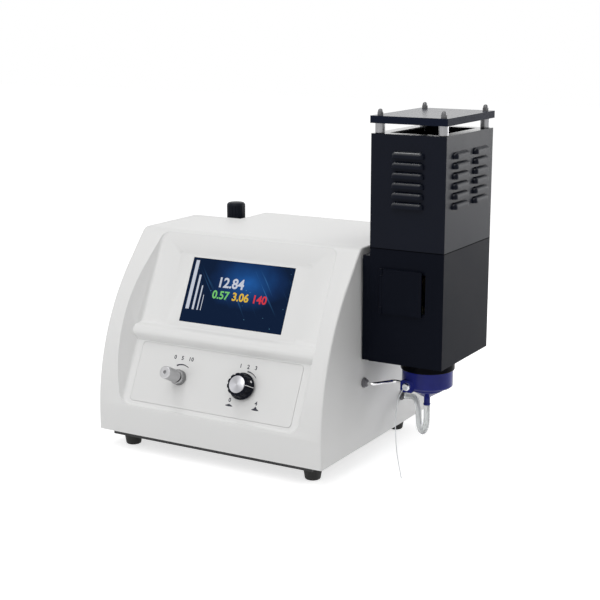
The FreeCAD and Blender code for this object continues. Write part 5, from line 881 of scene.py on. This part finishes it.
class PHOTOMETER_OT_screen(bpy.types.Operator):
    """Touch screen with a plain readout"""

    bl_idname = "photometer.screen"
    bl_label = "Screen"

    def execute(self, context):
        looks = context.scene.photometer
        low, high = box_of("display_glass")
        centre = (low + high) / 2
        face = centre + OUT * reach("display_glass", centre, OUT)[1]
        foot, head, _ = reach("display_glass", centre, UPHILL)
        width, height = high[0] - low[0], head - foot
        coat(lit_screen("Screen field", face, width, height, looks.screen_glow), "display_glass")
        coat(coated("Module black", (0.02, 0.02, 0.022), rough=0.5), "display_module")
        where = (face, RIGHT, UPHILL, OUT)
        thick = looks.print_thickness
        white = shining("Readout white", (0.66, 0.70, 0.80))
        green = shining("Readout green", (0.20, 0.65, 0.18))
        amber = shining("Readout amber", (0.85, 0.55, 0.05))
        red = shining("Readout red", (0.75, 0.04, 0.06))
        # Bars by place across, top and half width; numbers by place across and up, and size. All are shares of the
        # screen's width and height.
        bars = []
        for across, top, half in ((-0.452, 0.46, 0.017), (-0.395, 0.24, 0.010), (-0.35, 0.08, 0.006),
                                  (-0.317, -0.06, 0.003)):
            path = np.array(((across, -0.30), (across, top))) * (width, height)
            bars.append(band(f"readout_bar_{len(bars)}", path, half * width, where, thick))
        dress(joined("readout_bars", bars), "case", "screen", white)
        numbers = (("12.84", -0.21, 0.09, 0.21, white), ("0.57", -0.235, -0.09, 0.17, green),
                   ("3.06", -0.04, -0.09, 0.17, amber), ("140", 0.155, -0.09, 0.17, red))
        for count, (text, across, up, size, finish) in enumerate(numbers):
            place = across * width, up * height
            digits = lettering(f"readout_number_{count}", text, size * height, where, *place, thick)
            dress(digits, "case", "screen", finish)
        return {"FINISHED"}


class PHOTOMETER_OT_controls(bpy.types.Operator):
    """Control plate with its printed marks, needle valve and gas cock"""

    bl_idname = "photometer.controls"
    bl_label = "Controls"

    def execute(self, context):
        looks = context.scene.photometer
        sheet = coated("Control plate coat", looks.plate_colour, share=0.04, mottle=8.0, rough=0.38, grain=2600.0,
                       depth=0.04)
        refit("control_plate", "control_sheet", sheet, SOFT_ROUND)
        printed_marks(looks)
        steel = turned("Knob metal", (0.54, 0.54, 0.55), spot_of("fine_knob_turn"), OUT, rough=0.30)
        fine_valve(steel, looks.knurl_depth / MM)
        gas_valve(steel)
        return {"FINISHED"}


class PHOTOMETER_OT_chimney(bpy.types.Operator):
    """Mounting plate, burner housing, flap, hood, lid and their hardware"""

    bl_idname = "photometer.chimney"
    bl_label = "Chimney"

    def execute(self, context):
        looks = context.scene.photometer
        edge = looks.edge_round
        # Lit and shaded copies of one black coat: against the hood's, the housing's colour is darkened as painted shade
        # and the lid's is lightened as painted light, and each has its own specular and weight of painted highlight.
        housing, hood, lid = (
            coated(name, times(looks.chimney_colour, painted_light_share), times(looks.chimney_colour, painted_light_share * 1.7), share=0.4,
                   mottle=18.0, rough=rough, spread=0.08, grain=2400.0, depth=0.08, specular=specular, lamp_facing_gloss=lamp_facing_gloss)
            for name, painted_light_share, rough, specular, lamp_facing_gloss in (
                ("Housing coat", 0.55, 0.40, 0.035, 0.32), ("Hood coat", 0.75, 0.38, 0.082, 1.15),
                ("Lid coat", 1.5, 0.42, 0.02, 0.70)))
        refit("mounting_plate", "chimney_black", housing, edge)
        refit("burner_housing", "chimney_black", housing, edge)
        level = refit("chimney_hood", "chimney_black", hood, edge * 0.7).modifiers.new("level_faces", "WEIGHTED_NORMAL")
        level.keep_sharp = True
        level.weight = 100
        refit("chimney_lid", "chimney_black", lid, edge)
        refit("inspection_flap", "chimney_black", housing, edge * 0.5, "inspection_flap")
        # Painted shadow: a near-black strip standing on the joint between housing and hood.
        painted_seam_shadow = coated("Seam shadow", (0.0012, 0.0012, 0.0016), rough=0.9, specular=0.0)
        dress(seam_shadow_strip("hood_seam_shadow"), "case", "chimney_black", painted_seam_shadow)
        bright = brushed("Bright hardware", (0.34, 0.34, 0.35), (0, 0, 1), rough=0.24, depth=0.05)
        grey = brushed("Nut metal", (0.16, 0.16, 0.165), (0, 0, 1), rough=0.30, depth=0.05)
        refit("hood_standoffs", "hardware", bright, FINE_ROUND)
        refit("lid_nuts", "hardware", grey, SOFT_ROUND)
        coat(bright, "flap_pin")
        return {"FINISHED"}


class PHOTOMETER_OT_burner(bpy.types.Operator):
    """Burner, flame shield, igniter, mixing chamber and nebuliser"""

    bl_idname = "photometer.burner"
    bl_label = "Burner"

    def execute(self, context):
        looks = context.scene.photometer
        for node, name, below in (("flame_shield", "Shield steel", 0), ("burner_head", "Burner steel", 50 * MM)):
            low, high = box_of(node)
            refit(node, "valve_metal", heated_steel(name, low[2] - below, high[2]), FINE_ROUND)
        coat(coated("Igniter ceramic", (0.78, 0.77, 0.72), rough=0.2, mottle=80.0), "igniter")
        blue = chamber_plastic("Chamber blue", looks.chamber_colour, 0.15, 0.14)
        refit("chamber_base", "chamber_blue", blue, 0.5 * MM)
        # Painted shade: the ring is of the chamber's blue plastic, coloured near black for the shade that the housing
        # casts over it.
        ring_painted_shade = chamber_plastic("Chamber ring", (0.001, 0.0013, 0.003), 0.0, 0.03)
        refit("mixing_chamber", "ring_dark", ring_painted_shade, 0.4 * MM)
        silver = turned("Nebuliser metal", (0.80, 0.82, 0.86), box_of("nebuliser").mean(axis=0), (0, -1, 0), rough=0.2)
        refit("nebuliser", "hardware", silver, FINE_ROUND)
        return {"FINISHED"}


class PHOTOMETER_OT_tubes(bpy.types.Operator):
    """Drain hose, sample capillary, air tube and their wall fittings"""

    bl_idname = "photometer.tubes"
    bl_label = "Tubes"

    def execute(self, context):
        clear = see_through("Hose plastic", (0.86, 0.88, 0.88), rough=0.2, through=0.6)
        soft_tube("drain_hose_tube", HOSE_ROUTE, 0.0041, "drain_hose", clear, "hose_clear")
        milky = see_through("Capillary plastic", (0.86, 0.88, 0.90), rough=0.3, through=0.35)
        soft_tube("capillary_tube", CAPILLARY_ROUTE, 0.00065, "sample_capillary", milky, "capillary_white")
        chrome = brushed("Tube chrome", (0.86, 0.86, 0.87), (1, 0, 0), rough=0.08, depth=0.02)
        refit("air_tube", "air_tube_chrome", chrome, 0)
        refit("wall_fittings", "wall_fitting_grey", coated("Fitting grey", (0.10, 0.10, 0.11), rough=0.4), FINE_ROUND)
        return {"FINISHED"}


class PHOTOMETER_OT_regulator(bpy.types.Operator):
    """Filter-regulator with its gauge in the rear corner"""

    bl_idname = "photometer.regulator"
    bl_label = "Regulator"

    def execute(self, context):
        cast = coated("Regulator cast", (0.62, 0.63, 0.64), rough=0.45, grain=900.0, depth=0.25)
        refit("regulator_body", "regulator_cast", cast, 0.8 * MM)
        black = coated("Regulator black", (0.0055, 0.007, 0.012), rough=0.4, grain=1800.0, depth=0.15, specular=0.1)
        for node in ("regulator_knob", "drain_cock"):
            refit(node, "regulator_black", black, SOFT_ROUND, node)
        refit("regulator_bowl", "bowl_clear", see_through("Bowl plastic", (0.86, 0.90, 0.92), 0.08, 0.9), FINE_ROUND)
        refit("gauge_case", "gauge_black", coated("Gauge black", (0.012, 0.012, 0.012), rough=0.25), SOFT_ROUND)
        gauge_dial()
        zinc = brushed("Bracket zinc", (0.68, 0.68, 0.66), (0, 0, 1), rough=0.32)
        refit("regulator_bracket", "bracket_zinc", zinc, SOFT_ROUND)
        coat(zinc, "air_outlet_fitting", "regulator_spindle")
        refit("air_inlet_fitting", "push_fitting", coated("Push ring blue", (0.02, 0.05, 0.25), rough=0.3), SOFT_ROUND)
        coat(coated("Pointer red", (0.45, 0.02, 0.015), rough=0.4), "gauge_needle")
        return {"FINISHED"}


class PHOTOMETER_OT_rear(bpy.types.Operator):
    """Rear panel, mains inlet, fuse drawer, power switch and gas inlet"""

    bl_idname = "photometer.rear"
    bl_label = "Rear panel"

    def execute(self, context):
        sheet = coated("Rear coat", (0.70, 0.70, 0.69), rough=0.5, grain=1600.0, depth=0.2)
        refit("rear_panel", "rear_sheet", sheet, SOFT_ROUND)
        black = coated("Inlet black", (0.013, 0.013, 0.014), rough=0.38, grain=1600.0, depth=0.12)
        for node, body in (("mains_inlet", "case"), ("switch_frame", "case"), ("fuse_drawer", "fuse_drawer"),
                           ("power_rocker", "power_rocker")):
            refit(node, "inlet_black", black, SOFT_ROUND, body)
        brass = turned("Inlet brass", (0.70, 0.52, 0.24), box_of("lpg_inlet").mean(axis=0), (0, 1, 0))
        refit("lpg_inlet", "cock_brass", brass, FINE_ROUND)
        return {"FINISHED"}


class PHOTOMETER_OT_inside(bpy.types.Operator):
    """Boards, supply, optics and pipes inside the case"""

    bl_idname = "photometer.inside"
    bl_label = "Inside"

    def execute(self, context):
        coat(coated("Board green", (0.01, 0.12, 0.05), rough=0.3, mottle=300.0), "main_board")
        coat(brushed("Spacer brass", (0.70, 0.55, 0.28), (0, 0, 1)), "board_standoffs")
        coat(brushed("Supply sheet", (0.66, 0.67, 0.68), (1, 0, 0)), "power_supply")
        coat(coated("Optic black", (0.015, 0.015, 0.016), rough=0.55, metal=0.4), "optic_block", "light_barrel")
        coat(brushed("Pipe copper", (0.72, 0.40, 0.26), (1, 0, 0)), "gas_link_pipe", "gas_supply_pipe",
             "gas_burner_pipe")
        coat(coated("Air hose blue", (0.03, 0.09, 0.40), rough=0.3), "air_pipe")
        return {"FINISHED"}


# ---- studio

# Lamps by name, place, the spot that they light, size across and power.
LAMPS = (
    ("key_light", (0.15, -1.5, 1.9), (0.0, -0.05, 0.15), 1.6, 14.8),
    ("top_light", (-0.55, -0.25, 2.3), (0.0, 0.0, 0.2), 0.7, 7.6),
    ("low_light", (-0.8, -2.0, 0.2), (0.0, 0.0, 0.18), 1.2, 7.6),
    ("back_light", (-0.75, 1.65, 1.3), (0.1, 0.0, 0.35), 1.2, 1.9),
    ("side_light", (1.05, 1.5, 0.55), (0.17, 0.03, 0.33), 0.9, 12.0),
)


def seen_rays(tree):
    """One for rays from the camera and for those that glass and metal send on, and nought for the rest."""
    rays = add(tree, "LightPath").outputs
    first = number(tree, "MAXIMUM", rays["Is Camera Ray"], rays["Is Glossy Ray"])
    return number(tree, "MAXIMUM", first, rays["Is Transmission Ray"])


def studio_floor(level):
    """A wide pale floor that shows white to the eye but keeps the shadow that falls on it."""
    half = 6.0
    corners = [(across, deep, level) for across, deep in ((-half, -half), (half, -half), (half, half), (-half, half))]
    floor = make_mesh("studio_floor", corners, [[0, 1, 2, 3]], closed=False)
    material = bpy.data.materials.new("Studio floor")
    material.use_nodes = True
    tree = material.node_tree
    wire(tree.nodes["Principled BSDF"], Base_Color=(0.70, 0.70, 0.70, 1), Roughness=0.9, Specular_IOR_Level=0.0,
         Emission_Color=(1, 1, 1, 1), Emission_Strength=number(tree, "MULTIPLY", seen_rays(tree), 0.66))
    floor.data.materials.append(material)


def studio_world():
    """Even white light from all sides, over a background that shows pure white."""
    world = bpy.data.worlds.new("Studio")
    world.use_nodes = True
    tree = world.node_tree
    light = wire(tree.nodes["Background"], Color=(1, 1, 1, 1), Strength=0.53)
    white = add(tree, "Background", Color=(1, 1, 1, 1), Strength=1.0)
    pick = add(tree, "MixShader")
    for socket, value in zip(pick.inputs, (seen_rays(tree), light.outputs[0], white.outputs[0])):
        feed(socket, value)
    feed(tree.nodes["World Output"].inputs["Surface"], pick.outputs[0])
    return world


class PHOTOMETER_OT_stage(bpy.types.Operator):
    """Floor, lights and camera"""

    bl_idname = "photometer.stage"
    bl_label = "Studio"

    def execute(self, context):
        scene = context.scene
        scene.view_settings.view_transform = "Standard"
        studio_floor(CAD_BOX[0][2] - 0.2 * MM)
        scene.world = studio_world()
        for name, place, aim, size, power in LAMPS:
            data = bpy.data.lights.new(name, "AREA")
            data.energy = power
            data.size = size
            lamp = as_object(name, data)
            lamp.location = place
            lamp.visible_glossy = name != "low_light"
            lamp.rotation_euler = (Vector(aim) - Vector(place)).to_track_quat("-Z", "Y").to_euler()
        data = bpy.data.cameras.new("camera")
        data.sensor_fit = "HORIZONTAL"
        data.sensor_width = 36
        picture_width, focal_length = 600, 1331.5
        data.lens = data.sensor_width * focal_length / picture_width
        camera = as_object("camera", data)
        turn, rise = math.radians(30.03), math.radians(12.53)
        back = Vector((math.sin(turn) * math.cos(rise), -math.cos(turn) * math.cos(rise), math.sin(rise)))
        camera.location = case_place(1085.1, -1341.5, 579.3)
        camera.rotation_euler = back.to_track_quat("Z", "Y").to_euler()
        scene.camera = camera
        return {"FINISHED"}


class PHOTOMETER_PT_panel(bpy.types.Panel):
    """The photometer's pieces and finishes"""

    bl_idname = "PHOTOMETER_PT_panel"
    bl_label = "Flame photometer"
    bl_space_type = "VIEW_3D"
    bl_region_type = "UI"
    bl_category = "Photometer"

    def draw(self, context):
        looks = context.scene.photometer
        for name in PhotometerLooks.__annotations__:
            self.layout.prop(looks, name)
        for operator in OPERATORS:
            self.layout.operator(operator.bl_idname)


OPERATORS = (
    PHOTOMETER_OT_stage, PHOTOMETER_OT_tubes, PHOTOMETER_OT_case, PHOTOMETER_OT_screen, PHOTOMETER_OT_controls,
    PHOTOMETER_OT_chimney, PHOTOMETER_OT_burner, PHOTOMETER_OT_regulator, PHOTOMETER_OT_rear, PHOTOMETER_OT_inside)
CLASSES = (PhotometerLooks, *OPERATORS, PHOTOMETER_PT_panel)


def register():
    for entry in CLASSES:
        bpy.utils.register_class(entry)
    bpy.types.Scene.photometer = bpy.props.PointerProperty(type=PhotometerLooks)


def unregister():
    del bpy.types.Scene.photometer
    for entry in reversed(CLASSES):
        bpy.utils.unregister_class(entry)


def main():
    register()
    for operator in OPERATORS:
        group, name = operator.bl_idname.split(".")
        getattr(getattr(bpy.ops, group), name)()


if __name__ == "__main__":
    main()
